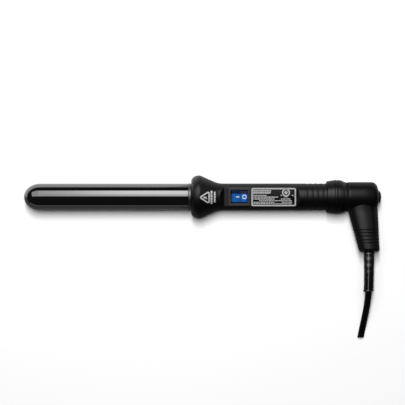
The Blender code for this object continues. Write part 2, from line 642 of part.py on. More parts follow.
# ---------------------------------------------------------------- swivel, turning side
SPINDLE_RADIUS = 8.6
FLANGE_RADIUS = 10.3
STUD_RADIUS = 3.4                 # rear stud with two flats, carrying the nut
SPINDLE_PROFILE = [               # x, radius
    (276.4, 0), (276.4, 5.9), (284.0, 5.9), (284.0, SPINDLE_RADIUS),
    (290.0, SPINDLE_RADIUS), (290.0, FLANGE_RADIUS), (293.0, FLANGE_RADIUS),
    (293.0, SPINDLE_RADIUS), (300.3, SPINDLE_RADIUS), (300.3, STUD_RADIUS),
    (309.1, STUD_RADIUS), (309.1, 0)]
LINE_RING_PROFILE = [
    (273.6, 0), (273.6, 1.8), (274.0, 2.2), (276.2, 2.2),
    (276.2, 1.0), (280.2, 1.0), (280.2, 0)]
NEUTRAL_RING_PROFILE = [(278.2, 6.1), (278.2, 7.6), (282.2, 7.6), (282.2, 6.1)]
WASHER_PROFILE = [
    (299.65, BEARING_RADIUS), (299.65, 12.9), (300.35, 12.9), (300.35, BEARING_RADIUS)]


def flats(x_range, flat_z):
    """Boolean steps cutting a flat above and below the axis."""
    return [('-', box(x_range, about(0.0, 5.0), mirrored(sign, flat_z, 6.0)))
            for sign in (1, -1)]


def axial_rod(radius, limits, sides=SIDES_SMALL, phase=0.0):
    return rod('x', (0.0, 0.0), radius, limits, sides, phase)


wire_duct = combine(axial_rod(1.2, (270.0, 281.0), phase=0.1),
                    ('+', axial_rod(2.15, (279.0, 312.0), phase=0.17)))
spindle = combine(lathe(SPINDLE_PROFILE, SIDES_MEDIUM), ('-', wire_duct),
                  *flats((300.35, 311.0), 2.7))
place("swivel_spindle", lift(spindle), SPINDLE_BEIGE, rough=0.5, pivot=SWIVEL)
place("slip_ring_line", lathe(LINE_RING_PROFILE, SIDES_SMALL), BRASS,
      rough=0.3, metallic=1.0, pivot=SWIVEL)
place("slip_ring_neutral", lathe(NEUTRAL_RING_PROFILE, SIDES_MEDIUM), BRASS,
      rough=0.3, metallic=1.0, pivot=SWIVEL)
place("swivel_washer", lathe(WASHER_PROFILE, SIDES_COLLAR), SOFT_BLACK,
      rough=0.7, pivot=SWIVEL)
nut = combine(axial_rod(5.0, (303.55, 307.1), 6), ('-', axial_rod(3.6, (302.0, 309.0))))
place("spindle_nut", lift(nut), STEEL, rough=0.35, metallic=1.0, pivot=SWIVEL)

# ---------------------------------------------------------------- cord route
CORD_RADIUS = 3.0
CORD_START, CORD_END = 25.0, 132.1    # reach of the jacket ends
SLEEVE_END = 87.2
SLEEVE_X, SLEEVE_X_REACH = 320.1, 51.0    # cord x at this reach
SLEEVE_DRIFT = -0.0175            # change of x per mm of reach
CORD_BEND = 0.00184               # curvature beyond the sleeve
DROOP_REACH, DROOP = 58.0, 0.42   # where the sleeve starts to droop, and how much slope it loses
RISE = math.tan(math.radians(LEG_LIFT))
TABLE_DROP = AXIS_Z - CORD_RADIUS     # wand axis above a cord lying on the table
FREE_STEPS = 10
SLEEVE_STATIONS = [DROOP_REACH, 66.0, 73.0, 80.0, SLEEVE_END]


def cord_x(reach):
    """Straight inside the sleeve, then a gentle bend towards the tip."""
    beyond = max(reach - SLEEVE_END, 0.0)
    return SLEEVE_X + SLEEVE_DRIFT * (reach - SLEEVE_X_REACH) - CORD_BEND * beyond * beyond


def cord_z(reach):
    """Along the raised leg, over the drooping sleeve, down to the table."""
    if reach <= DROOP_REACH:
        return RISE * reach
    if reach <= SLEEVE_END:
        length = SLEEVE_END - DROOP_REACH
        u = (reach - DROOP_REACH) / length
        return RISE * reach - DROOP * length * u ** 3 / 3
    length = CORD_END - SLEEVE_END
    u = (reach - SLEEVE_END) / length
    return ((2 * u ** 3 - 3 * u * u + 1) * cord_z(SLEEVE_END)
            + (u ** 3 - 2 * u * u + u) * (RISE - DROOP) * length
            - (3 * u * u - 2 * u ** 3) * TABLE_DROP)


def cord_row(reach, radius):
    """Loft row, widened so that the slanting cord keeps its radius."""
    step = 0.05
    slope_x = (cord_x(reach + step) - cord_x(reach - step)) / (2 * step)
    slope_z = 0.0
    if reach < CORD_END:
        slope_z = (cord_z(min(reach + step, CORD_END)) - cord_z(reach - step)) / (2 * step)
    return (reach, cord_x(reach), cord_z(reach),
            radius * math.hypot(1, slope_x), radius * math.hypot(1, slope_z))


def cord_stations(end):
    """Reaches from the cord start, through the sleeve, to the given end."""
    free = [SLEEVE_END + (end - SLEEVE_END) * i / FREE_STEPS for i in range(1, FREE_STEPS + 1)]
    return [CORD_START] + SLEEVE_STATIONS + free


# ---------------------------------------------------------------- elbow
ELBOW_RADIUS = 13.8
ELBOW_ROUND = 5.5                 # rear edge rounding
ELBOW_REAR_X = 330.0
LEG_X = 313.0                     # leg centre on the wand axis
LEG_SLOPE = math.tan(math.radians(8.30))
LEG_END = 51.1
LEG_RIBS = (31.9, 34.9, 38.0, 41.1, 44.2)    # reach of the shallow waists
WAIST_HALF, WAIST_DEPTH = 0.75, 0.55


def leg_row(reach, inset_x=0.0, inset_z=0.0):
    """Loft row of the tapering leg, inset from its outer surface."""
    return (reach, LEG_X + LEG_SLOPE * reach, 0.0,
            15.2 - 0.113 * reach - inset_x, 10.9 - 0.026 * reach - inset_z)


leg_insets = [(0.0, 0.0), (14.0, 0.0), (27.0, 0.0)]    # reach, inset
for reach in LEG_RIBS:
    leg_insets += [(reach - WAIST_HALF, 0.0), (reach, WAIST_DEPTH), (reach + WAIST_HALF, 0.0)]
leg_insets += [(LEG_END - 1.9, 0.0), (LEG_END - 0.6, 0.55), (LEG_END, 1.9)]
leg = combine(loft([leg_row(reach, inset, inset) for reach, inset in leg_insets], 24),
              ('-', box((290.0, ELBOW_X + 0.25), (-20.0, 5.0), about(0.0, 20.0))))
leg_cavity = loft([leg_row(reach, 2.4, 2.2) for reach in (0.0, 24.0, 46.6)], SIDES_MEDIUM)

elbow_profile = [
    (ELBOW_X, 0.0), (ELBOW_X, ELBOW_RADIUS - 0.5), (ELBOW_X + 0.5, ELBOW_RADIUS),
    *arc((323.0, ELBOW_RADIUS - ELBOW_ROUND), (ELBOW_ROUND, ELBOW_ROUND), 90, 0, 5),
    (ELBOW_REAR_X, 5.45), (ELBOW_REAR_X, 0.0)]
ELBOW_CAVITY = [                  # x, radius
    (303.3, 0.0), (303.3, 11.4), (320.5, 11.4), (323.8, 9.8), (325.6, 7.2), (325.6, 0.0)]
stud_hole = combine(axial_rod(3.6, (300.0, 306.0)), *flats((299.0, 307.0), 2.85))
elbow = combine(
    lathe(elbow_profile), ('+', leg), ('-', lathe(ELBOW_CAVITY, SIDES_MEDIUM)),
    ('-', leg_cavity), ('-', stud_hole), ('-', axial_rod(5.1, (320.0, 335.0), 16)),
    ('-', rod('y', (cord_x(LEG_END), 0.0), 5.2, (-56.0, -44.0), 20)))
place("elbow_housing", lift(elbow), BLACK, rough=0.35, pivot=SWIVEL)

CAP_RIM_X, CAP_RADIUS, CAP_DOME = 330.12, 5.4, 1.88
cap_profile = [(326.0, 0.0), (326.0, 4.9), (CAP_RIM_X, 4.9),
               *arc((CAP_RIM_X, 0.0), (CAP_DOME, CAP_RADIUS), 90, 0, 4)]
place("elbow_cap", lathe(cap_profile, SIDES_MEDIUM), BLACK, rough=0.3, pivot=SWIVEL)

# ---------------------------------------------------------------- cord
jacket_stations = cord_stations(CORD_END)
jacket = loft([cord_row(reach, CORD_RADIUS) for reach in jacket_stations], 14,
              [cord_row(reach, 2.1) for reach in jacket_stations])
place("cord_jacket", jacket, CORD_BLACK, rough=0.5, pivot=SWIVEL)

SLEEVE_START = 40.2
SLEEVE_OUTSIDE = [                # reach, radius
    (SLEEVE_START, 6.3), (42.6, 6.3), (42.6, 4.75), (51.6, 4.75), (52.0, 4.95),
    (58.0, 4.72), (66.0, 4.56), (73.0, 4.46), (80.0, 4.36), (84.6, 4.4),
    (86.2, 4.75), (86.8, 4.9), (SLEEVE_END, 4.75)]
sleeve = loft([cord_row(reach, radius) for reach, radius in SLEEVE_OUTSIDE], 16,
              [cord_row(reach, 3.2) for reach in [SLEEVE_START] + SLEEVE_STATIONS])
place("cord_sleeve", sleeve, BLACK, rough=0.35, pivot=SWIVEL)

clamp_x = cord_x(30.0)
clamp = combine(box((clamp_x - 4.1, clamp_x + 3.9), (-33.0, -27.5), (0.2, 4.1)),
                ('-', rod('y', (clamp_x, 0.0), CORD_RADIUS + 0.2, (-36.0, -24.0), 16)))
place("cord_clamp", lift(clamp), CLAMP_BEIGE, rough=0.5, pivot=SWIVEL, smooth=False)

# two cores: along the axis, round a quarter bend, then inside the jacket
CORE_RADIUS = 0.85
CORE_OFFSET = 0.98                # each core's distance from the cord centre
CORE_BEND = 9.3
bend_x = cord_x(CORD_START) - CORE_BEND
centre_line = [Vector((x, 0, 0)) for x in (281.6, 296.0, bend_x)]
for i in range(1, 7):
    angle = math.radians(90.0 * i / 6)
    reach = CORE_BEND * (1 - math.cos(angle))
    centre_line.append(Vector((bend_x + CORE_BEND * math.sin(angle), -reach, RISE * reach)))
centre_line += [Vector((cord_x(reach), -reach, cord_z(reach)))
                for reach in cord_stations(CORD_END - 0.35)]
for name, sign, colour in (("core_line", 1, WIRE_BROWN), ("core_neutral", -1, WIRE_BLUE)):
    path = []
    for point, tangent in zip(centre_line, tangents(centre_line)):
        upward = Vector((0, 0, 1))
        upward = (upward - tangent * upward.dot(tangent)).normalized()
        path.append(point + upward * (sign * CORE_OFFSET))
    place(name, sweep(path, CORE_RADIUS, 6), colour, rough=0.45, pivot=SWIVEL)

# ---------------------------------------------------------------- handle wiring
WIRE_RADIUS = 0.8
WIRE_STEP = 7.0
WIRES = (                         # name, colour, knots (x, y, z)
    ("wire_line", WIRE_BROWN, [
        (257.5, -0.6, 0.0), (256.0, -2.4, -0.6), (253.5, -6.4, -2.0), (248.0, -7.9, -2.6),
        (230.0, -7.9, -2.8), (212.0, -7.6, -4.0), (203.0, -6.6, -5.6), (200.4, -4.4, -6.4),
        (199.9, -3.3, -6.5)]),
    ("wire_load", WIRE_BROWN, [
        (205.9, 3.4, -6.4), (205.0, 5.2, -6.2), (200.0, 6.9, -5.6), (190.0, 7.2, -4.6),
        (180.0, 7.2, -4.0), (174.5, 6.8, -3.8), (169.0, 5.2, -3.4), (163.1, 4.5, -3.2)]),
    ("wire_neutral", WIRE_BLUE, [
        (257.7, 8.0, 0.0), (254.0, 8.1, 0.1), (236.0, 8.1, 0.6), (212.0, 8.4, 0.9),
        (190.0, 8.3, 0.8), (181.0, 7.6, 1.2), (172.0, 4.0, 1.8), (164.0, 2.4, 1.9),
        (156.0, 1.6, 1.5), (150.3, 1.0, 1.3)]),
)
for name, colour, knots in WIRES:
    place(name, sweep(spline(knots, WIRE_STEP), WIRE_RADIUS, 6), colour, rough=0.45)
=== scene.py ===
"""Heated wand lying on a table: barrel, two-shell handle with a rocker switch, swivel elbow and cord.

The wand lies along X with the barrel tip at its low end and the switch facing up (+Z).
The elbow leg and the cord turn off towards -Y. Pieces are modelled in mm as (s, y, h):
s along the wand from the barrel tip, y and h from the wand axis.
"""

import json
import math

import bmesh
import bpy
import numpy as np
from mathutils import Matrix, Vector

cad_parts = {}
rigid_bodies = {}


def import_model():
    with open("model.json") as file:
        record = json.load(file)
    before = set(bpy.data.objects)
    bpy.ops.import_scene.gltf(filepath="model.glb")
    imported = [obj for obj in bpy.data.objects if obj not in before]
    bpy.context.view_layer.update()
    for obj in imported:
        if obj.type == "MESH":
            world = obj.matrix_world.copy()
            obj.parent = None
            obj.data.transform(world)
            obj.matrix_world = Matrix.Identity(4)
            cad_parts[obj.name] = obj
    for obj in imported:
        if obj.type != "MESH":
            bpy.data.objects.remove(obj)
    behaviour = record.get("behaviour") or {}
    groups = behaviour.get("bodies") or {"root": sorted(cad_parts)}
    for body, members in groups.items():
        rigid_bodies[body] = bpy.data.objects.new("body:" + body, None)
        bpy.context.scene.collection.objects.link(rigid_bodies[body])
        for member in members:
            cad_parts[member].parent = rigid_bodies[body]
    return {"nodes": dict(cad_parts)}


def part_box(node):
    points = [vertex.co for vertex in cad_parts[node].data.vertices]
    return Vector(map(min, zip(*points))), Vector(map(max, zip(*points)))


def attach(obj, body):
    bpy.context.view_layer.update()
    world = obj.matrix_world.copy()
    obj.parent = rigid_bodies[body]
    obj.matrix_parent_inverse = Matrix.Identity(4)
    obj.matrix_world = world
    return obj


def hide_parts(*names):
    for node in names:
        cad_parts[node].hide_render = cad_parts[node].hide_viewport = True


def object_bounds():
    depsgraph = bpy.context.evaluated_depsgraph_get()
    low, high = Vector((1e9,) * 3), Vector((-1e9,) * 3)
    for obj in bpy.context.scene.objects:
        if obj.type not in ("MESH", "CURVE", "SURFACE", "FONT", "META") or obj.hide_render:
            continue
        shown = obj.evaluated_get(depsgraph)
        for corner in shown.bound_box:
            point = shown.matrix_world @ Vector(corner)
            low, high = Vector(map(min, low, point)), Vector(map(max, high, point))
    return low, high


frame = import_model()
cad_lo, cad_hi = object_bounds()

MM = 0.001
barrel_lo, barrel_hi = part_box("barrel")
AXIS_Y = (barrel_lo[1] + barrel_hi[1]) / 2      # wand axis
AXIS_Z = (barrel_lo[2] + barrel_hi[2]) / 2
TIP_X = barrel_lo[0]
SPLIT = 0.1                         # half gap between the handle shells
SWITCH_S = 199.9                    # middle of the switch
CASE_SCREWS = (175.0, 219.0, 251.0)
PANEL_H = 8.7                       # height of the recessed flat on the handle


# ================================================================ mesh tools
class Skin:
    """Vertices and faces being gathered, in mm about the wand axis."""

    def __init__(self):
        self.blocks = []
        self.faces = []
        self.count = 0

    def points(self, coords):
        coords = np.asarray(coords, dtype=float).reshape(-1, 3)
        first = self.count
        self.blocks.append(coords)
        self.count += len(coords)
        return list(range(first, self.count))

    def grid(self, rows, wrap_rows=False, wrap_columns=False):
        """Quads between equal-length rows of vertex indices."""
        m, n = len(rows), len(rows[0])
        for i in range(m if wrap_rows else m - 1):
            a, b = rows[i], rows[(i + 1) % m]
            for j in range(n if wrap_columns else n - 1):
                k = (j + 1) % n
                self.faces.append((a[j], a[k], b[k], b[j]))

    def fan(self, ring, pole):
        for j in range(len(ring)):
            self.faces.append((ring[j], ring[(j + 1) % len(ring)], pole))

    def cap(self, ring):
        self.faces.append(tuple(ring))

    def mesh(self, fix=True):
        mesh = bpy.data.meshes.new("m")
        mesh.from_pydata(np.concatenate(self.blocks).tolist(), [], self.faces)
        return tidy(mesh) if fix else mesh


def tidy(mesh, merge=0.0):
    """Merge close vertices if asked, and turn all faces outwards."""
    bm = bmesh.new()
    bm.from_mesh(mesh)
    if merge:
        bmesh.ops.remove_doubles(bm, verts=bm.verts, dist=merge)
        bmesh.ops.dissolve_degenerate(bm, dist=merge, edges=bm.edges)
    bmesh.ops.recalc_face_normals(bm, faces=bm.faces)
    if bm.calc_volume(signed=True) < 0:
        bmesh.ops.reverse_faces(bm, faces=bm.faces)
    bm.to_mesh(mesh)
    bm.free()
    return mesh


def mesh_coords(mesh):
    coords = np.empty(len(mesh.vertices) * 3)
    mesh.vertices.foreach_get("co", coords)
    return coords.reshape(-1, 3)


def join(*meshes):
    skin = Skin()
    for mesh in meshes:
        first = skin.count
        skin.points(mesh_coords(mesh))
        for face in mesh.polygons:
            skin.cap(first + i for i in face.vertices)
    return skin.mesh(fix=False)


def fillet(loop):
    """Closed (a, b[, radius[, steps]]) loop with its corners rounded."""
    out = []
    for i, (x, y, *rounding) in enumerate(loop):
        corner = Vector((x, y))
        if not rounding:
            out.append((corner.x, corner.y))
            continue
        radius = rounding[0]
        steps = rounding[1] if len(rounding) > 1 else 4
        back = Vector(loop[i - 1][:2]) - corner
        ahead = Vector(loop[(i + 1) % len(loop)][:2]) - corner
        back_len, ahead_len = back.length, ahead.length
        back.normalize()
        ahead.normalize()
        half = math.acos(back.dot(ahead)) / 2
        reach = min(radius / math.tan(half), back_len * 0.49, ahead_len * 0.49)
        radius = reach * math.tan(half)
        centre = corner + (back + ahead).normalized() * (radius / math.sin(half))
        start = corner + back * reach - centre
        end = corner + ahead * reach - centre
        turn = start.angle(end)
        if start.x * end.y - start.y * end.x <= 0:
            turn = -turn
        first = math.atan2(start.y, start.x)
        for j in range(steps + 1):
            t = first + turn * j / steps
            out.append((centre.x + radius * math.cos(t), centre.y + radius * math.sin(t)))
    return out


def arc(cx, cy, rx, ry, start, end, steps):
    """Points on an ellipse from start to end, in degrees."""
    angles = [math.radians(start + (end - start) * i / steps) for i in range(steps + 1)]
    return [(cx + rx * math.cos(a), cy + ry * math.sin(a)) for a in angles]


def circle(cx, cy, radius, sides, phase=0.0):
    angles = [2 * math.pi * i / sides + phase for i in range(sides)]
    return [(cx + radius * math.cos(a), cy + radius * math.sin(a)) for a in angles]


def ring_angles(sides):
    return np.arange(sides) * 2 * math.pi / sides


def loft(rings, closed=False):
    """Skin through equal rings of points; joined end to end if closed, else capped."""
    skin = Skin()
    rows = [skin.points(ring) for ring in rings]
    skin.grid(rows, wrap_rows=closed, wrap_columns=True)
    if not closed:
        skin.cap(rows[0])
        skin.cap(rows[-1])
    return skin.mesh()


def lathe(profile, sides, phase=0.0):
    """Closed (s, radius) profile turned about the s axis."""
    skin = Skin()
    rings = []
    a = ring_angles(sides) + phase
    for s, r in profile:
        if r < 1e-9:
            rings.append(skin.points([(s, 0.0, 0.0)]))
        else:
            rings.append(skin.points(np.stack([np.full(sides, s), r * np.cos(a), r * np.sin(a)], 1)))
    for i, ring in enumerate(rings):
        after = rings[(i + 1) % len(rings)]
        if len(ring) == 1 and len(after) == 1:
            continue
        if len(after) == 1:
            skin.fan(ring, after[0])
        elif len(ring) == 1:
            skin.fan(after, ring[0])
        else:
            skin.grid([ring, after], wrap_columns=True)
    return skin.mesh()


def prism(outline, axis, lo, hi):
    """Outline is (s, h) for axis 'y', (y, h) for 'x' and (s, y) for 'z'."""
    place = {'y': lambda a, b, w: (a, w, b), 'x': lambda a, b, w: (w, a, b),
             'z': lambda a, b, w: (a, b, w)}[axis]
    return loft([[place(a, b, w) for a, b in outline] for w in (lo, hi)])


def box(s0, s1, y0, y1, h0, h1):
    return prism([(s0, y0), (s1, y0), (s1, y1), (s0, y1)], 'z', h0, h1)


def cylinder(axis, a, b, radius, lo, hi, sides=32, phase=0.0):
    return prism(circle(a, b, radius, sides, phase), axis, lo, hi)


def rounded_rect(s0, s1, y0, y1, r, steps=8):
    points = []
    for cx, cy, start in ((s1 - r, y1 - r, 0), (s0 + r, y1 - r, 90),
                          (s0 + r, y0 + r, 180), (s1 - r, y0 + r, 270)):
        points += arc(cx, cy, r, r, start, start + 90, steps)
    return points


def stack(centre_s, levels):
    """Skin of rounded rectangles; levels: (half length, half width, corner radius, h)."""
    return loft([[(x, y, h) for x, y in rounded_rect(centre_s - half_l, centre_s + half_l,
                                                     -half_w, half_w, r)]
                 for half_l, half_w, r, h in levels])


def boolean(base, *operations):
    """Apply (sign, mesh) pairs in turn; '+' adds and '-' cuts."""
    scene = bpy.context.scene.collection.objects
    ob = bpy.data.objects.new("tmp_base", base)
    scene.link(ob)
    for sign, mesh in operations:
        tool = bpy.data.objects.new("tmp_tool", mesh)
        scene.link(tool)
        modifier = ob.modifiers.new("b", 'BOOLEAN')
        modifier.operation = {'+': 'UNION', '-': 'DIFFERENCE'}[sign]
        modifier.solver = 'EXACT'
        modifier.object = tool
        bpy.context.view_layer.update()
        evaluated = ob.evaluated_get(bpy.context.evaluated_depsgraph_get())
        result = bpy.data.meshes.new_from_object(evaluated)
        ob.modifiers.clear()
        ob.data = result
        bpy.data.objects.remove(tool, do_unlink=True)
    mesh = ob.data
    bpy.data.objects.remove(ob, do_unlink=True)
    return tidy(mesh, 1e-4)


def tangent_at(points, i):
    return (points[min(i + 1, len(points) - 1)] - points[max(i - 1, 0)]).normalized()


def square_to(direction, tangent):
    """The part of direction at right angles to the tangent."""
    return (direction - tangent * direction.dot(tangent)).normalized()


def sweep(path, radius, sides, inner=0.0):
    """Round bar along a path, or an open tube if inner is given."""
    skin = Skin()
    up = Vector((0, 0, 1))
    rows, inner_rows = [], []
    for i, point in enumerate(path):
        tangent = tangent_at(path, i)
        up = square_to(up, tangent)
        side = tangent.cross(up)

        def ring(r):
            return skin.points([tuple(point + up * x + side * y)
                                for x, y in circle(0.0, 0.0, r, sides)])
        rows.append(ring(radius))
        if inner:
            inner_rows.append(ring(inner))
    skin.grid(rows + inner_rows[::-1], wrap_rows=bool(inner), wrap_columns=True)
    if not inner:
        skin.cap(rows[0])
        skin.cap(rows[-1])
    return skin.mesh()


def spline(points, step=0.25):
    """Smooth curve through (a, b) points."""
    pts = [Vector(p) for p in points]
    pts = [pts[0] * 2 - pts[1]] + pts + [pts[-1] * 2 - pts[-2]]
    out = []
    for i in range(1, len(pts) - 2):
        p0, p1, p2, p3 = pts[i - 1:i + 3]
        steps = max(3, int(round((p2 - p1).length / step)))
        for j in range(steps):
            u = j / steps
            out.append(0.5 * ((2 * p1) + (p2 - p0) * u + (2 * p0 - 5 * p1 + 4 * p2 - p3) * u * u
                              + (3 * p1 - p0 - 3 * p2 + p3) * u ** 3))
    out.append(pts[-2])
    return [(q.x, q.y) for q in out]


def smooth_min(a, b, k):
    h = np.clip(0.5 + 0.5 * (b - a) / k, 0, 1)
    return b * (1 - h) + a * h - k * h * (1 - h)


def smooth_max(a, b, k):
    return -smooth_min(-a, -b, k)


def upright(mesh, s, h=0.0):
    """Stand a lathed mesh up at s: its axis turns from +X to +Z."""
    mesh.transform(Matrix.Translation((s, 0, h)) @ Matrix.Rotation(math.radians(-90), 4, 'Y'))
    return mesh


class Print(Skin):
    """Thin printed marks that follow the surface height(s, y)."""
    LIFT = 0.006
    THICK = 0.03

    def __init__(self, height):
        super().__init__()
        self.height = height

    def patch(self, grid, wrap=False):
        """Rows of (s, y) become a closed thin plate on the surface."""
        top, low = [], []
        for row in grid:
            points = [(s, y, self.height(s, y) + self.LIFT) for s, y in row]
            top.append(self.points([(s, y, h + self.THICK) for s, y, h in points]))
            low.append(self.points(points))
        for rows in (top, low, [top[0], low[0]], [top[-1], low[-1]]):
            self.grid(rows, wrap_columns=wrap)
        if not wrap:
            for end in (0, -1):
                self.grid([[r[end] for r in top], [r[end] for r in low]])

    def bar(self, s0, s1, y0, y1, n, k):
        self.patch([[(s0 + (s1 - s0) * i / n, y0 + (y1 - y0) * j / k) for i in range(n + 1)]
                    for j in range(k + 1)])

    def stroke(self, points, width):
        """Ribbon along a polyline."""
        path = [Vector(p) for p in points]
        rows = []
        for i, point in enumerate(path):
            t = tangent_at(path, i)
            rows.append([tuple(point + Vector((-t.y, t.x)) * (width * (j / 2 - 0.5)))
                         for j in range(3)])
        self.patch(rows)

    def loop(self, inner, outer):
        """Band between two matching outlines."""
        self.patch([[(a[0] + (b[0] - a[0]) * j / 2, a[1] + (b[1] - a[1]) * j / 2)
                     for a, b in zip(inner, outer)] for j in range(3)], wrap=True)

    def ring(self, s, y, inner, outer, sides):
        self.loop(circle(s, y, inner, sides), circle(s, y, outer, sides))


# ================================================================ materials
def node(tree, kind, inputs=None, **settings):
    """Add a shader node; inputs are sockets to link or values. Returns its outputs."""
    new = tree.nodes.new("ShaderNode" + kind)
    for name, value in settings.items():
        setattr(new, name, value)
    for name, value in (inputs or {}).items():
        if isinstance(value, bpy.types.NodeSocket):
            tree.links.new(value, new.inputs[name])
        else:
            new.inputs[name].default_value = value
    return new.outputs


def math_node(tree, operation, *values):
    return node(tree, "Math", dict(enumerate(values)), operation=operation)[0]


def map_range(tree, value, source, target, curve='LINEAR'):
    return node(tree, "MapRange", {"Value": value, "From Min": source[0], "From Max": source[1],
                                   "To Min": target[0], "To Max": target[1]},
                interpolation_type=curve)["Result"]


LOOKS = {}                          # material name -> (material, slot name)
WORN = (0.012, 0.012, 0.012, 1)     # colour of rubbed edges


def surface(name, slot, color, roughness, metallic=0.0, specular=0.5, grain=0.3, bump=0.05,
            rough_var=0.05, tone_var=0.1, streak=None, wear=0.0, smudge=30.0, extra=None):
    """Colour and roughness varied by two noises, `grain` and `smudge` mm in size; the fine
    one also gives the bump and can be stretched by `streak`. `wear` lightens the edges."""
    material = bpy.data.materials.new(name)
    material.use_nodes = True
    tree = material.node_tree
    bsdf = tree.nodes["Principled BSDF"].inputs

    coords = node(tree, "TexCoord")["Object"]
    broad = node(tree, "TexNoise", {"Vector": coords, "Scale": 1.0 / (smudge * MM),
                                    "Detail": 4.0, "Roughness": 0.55})["Fac"]
    if streak:
        coords = node(tree, "Mapping", {"Vector": coords, "Scale": streak})["Vector"]
    fine = node(tree, "TexNoise", {"Vector": coords, "Scale": 1.0 / (grain * MM),
                                   "Detail": 3.0, "Roughness": 0.6})["Fac"]
    mixed = math_node(tree, 'MULTIPLY_ADD', fine, 0.45, math_node(tree, 'MULTIPLY', broad, 0.55))
    tree.links.new(map_range(tree, mixed, (0.3, 0.7), (roughness - rough_var, roughness + rough_var)),
                   bsdf["Roughness"])

    dark = tuple(c * (1 - tone_var) for c in color)
    light = tuple(min(1.0, c * (1 + tone_var)) for c in color)
    tone = node(tree, "Mix", {"A": (*dark, 1), "B": (*light, 1), "Factor": mixed},
                data_type='RGBA')["Result"]
    if wear:
        edge = map_range(tree, node(tree, "NewGeometry")["Pointiness"], (0.52, 0.62), (0.0, wear))
        tone = node(tree, "Mix", {"Factor": math_node(tree, 'MULTIPLY', edge, broad),
                                  "A": tone, "B": WORN}, data_type='RGBA')["Result"]
    tree.links.new(tone, bsdf["Base Color"])
    relief = node(tree, "Bump", {"Strength": bump, "Distance": grain * MM * 0.5, "Height": fine})
    tree.links.new(relief["Normal"], bsdf["Normal"])
    bsdf["Metallic"].default_value = metallic
    bsdf["Specular IOR Level"].default_value = specular
    for key, value in (extra or {}).items():
        bsdf[key].default_value = value
    LOOKS[name] = (material, slot)


K = 0.0016                          # base level of the black plastics
BLACK = (K, K, K)
surface("ceramic_coat", "barrel_coat", (K, K, K * 1.1), roughness=0.05, grain=0.9, bump=0.010,
        rough_var=0.02, smudge=24, extra={"IOR": 2.06})
surface("satin_trim", "trim_metal", (0.11, 0.11, 0.11), roughness=0.38, metallic=1.0, grain=0.25,
        streak=(8, 1, 1), rough_var=0.06)
surface("handle_grain", "handle_black", BLACK, roughness=0.40, specular=0.32, grain=0.28,
        bump=0.10, wear=0.25)
surface("collar_satin", "collar_black", BLACK, roughness=0.36, specular=0.28, grain=0.35,
        rough_var=0.06, wear=0.25)
surface("elbow_satin", "collar_black", BLACK, roughness=0.38, specular=0.22, grain=0.35,
        bump=0.06, rough_var=0.06, wear=0.2)
surface("label_film", "label_film", (0.0018, 0.0018, 0.002), roughness=0.42, specular=0.12,
        grain=0.5, bump=0.02)
surface("print_grey", "label_film", (0.55, 0.55, 0.55), roughness=0.6, specular=0.25, grain=0.15,
        bump=0.02, tone_var=0.18)
surface("print_white", "label_film", (0.66, 0.66, 0.67), roughness=0.6, specular=0.25, grain=0.15,
        bump=0.02, tone_var=0.12)
surface("bezel_satin", "switch_black", (0.034, 0.034, 0.035), roughness=0.40, specular=0.22,
        bump=0.06)
surface("rocker_blue", "rocker_blue", (0.012, 0.115, 0.43), roughness=0.36, specular=0.14,
        grain=0.5, bump=0.02, tone_var=0.06, extra={"Coat Weight": 0.04, "Coat Roughness": 0.06})
surface("mark_white", "rocker_blue", (0.66, 0.82, 1.0), roughness=0.5, specular=0.3, grain=0.2,
        bump=0.02, tone_var=0.05)
surface("sleeve_pvc", "cord_rubber", BLACK, roughness=0.18, specular=0.95, grain=0.5,
        rough_var=0.06, smudge=9)
surface("cord_pvc", "cord_rubber", (K * 1.2, K * 1.2, K * 1.2), roughness=0.34, specular=0.36,
        grain=0.35, bump=0.08, rough_var=0.07, smudge=8)
surface("extruded_aluminium", "heater_alu", (0.72, 0.72, 0.74), roughness=0.36, metallic=1.0,
        grain=0.2, bump=0.08, streak=(0.04, 1, 1))
surface("ptc_ceramic", "ptc_ceramic", (0.12, 0.11, 0.11), roughness=0.75, grain=0.12, bump=0.2,
        tone_var=0.25)
surface("rolled_brass", "contact_brass", (0.72, 0.55, 0.24), roughness=0.30, metallic=1.0,
        grain=0.2, bump=0.06, streak=(0.06, 1, 1), tone_var=0.08)
surface("copper", "contact_brass", (0.78, 0.40, 0.24), roughness=0.30, metallic=1.0, grain=0.2)
surface("bright_steel", "spring_steel", (0.60, 0.60, 0.62), roughness=0.26, metallic=1.0,
        grain=0.2, tone_var=0.06)
surface("zinc_plate", "screw_steel", (0.52, 0.53, 0.55), roughness=0.36, metallic=1.0, grain=0.25,
        bump=0.08, tone_var=0.12, smudge=3)
surface("phenolic", "phenolic_brown", (0.22, 0.11, 0.055), roughness=0.55, grain=0.25, bump=0.15,
        tone_var=0.25, smudge=5)
surface("mica_sheet", "mica_sheet", (0.62, 0.53, 0.38), roughness=0.35, grain=0.9, bump=0.15,
        tone_var=0.3, smudge=4)
surface("natural_nylon", "natural_nylon", (0.62, 0.60, 0.53), roughness=0.45, bump=0.06,
        tone_var=0.05, smudge=6)
surface("core_brown", "core_brown", (0.20, 0.075, 0.03), roughness=0.42, bump=0.06, smudge=5)
surface("core_blue", "core_blue", (0.02, 0.08, 0.32), roughness=0.42, bump=0.06, smudge=5)
surface("washer_rubber", "cord_rubber", (0.004, 0.004, 0.004), roughness=0.7, specular=0.25,
        bump=0.12, tone_var=0.15)


def object_coord(tree, axis):
    return node(tree, "SeparateXYZ", {0: node(tree, "TexCoord")["Object"]})[axis]


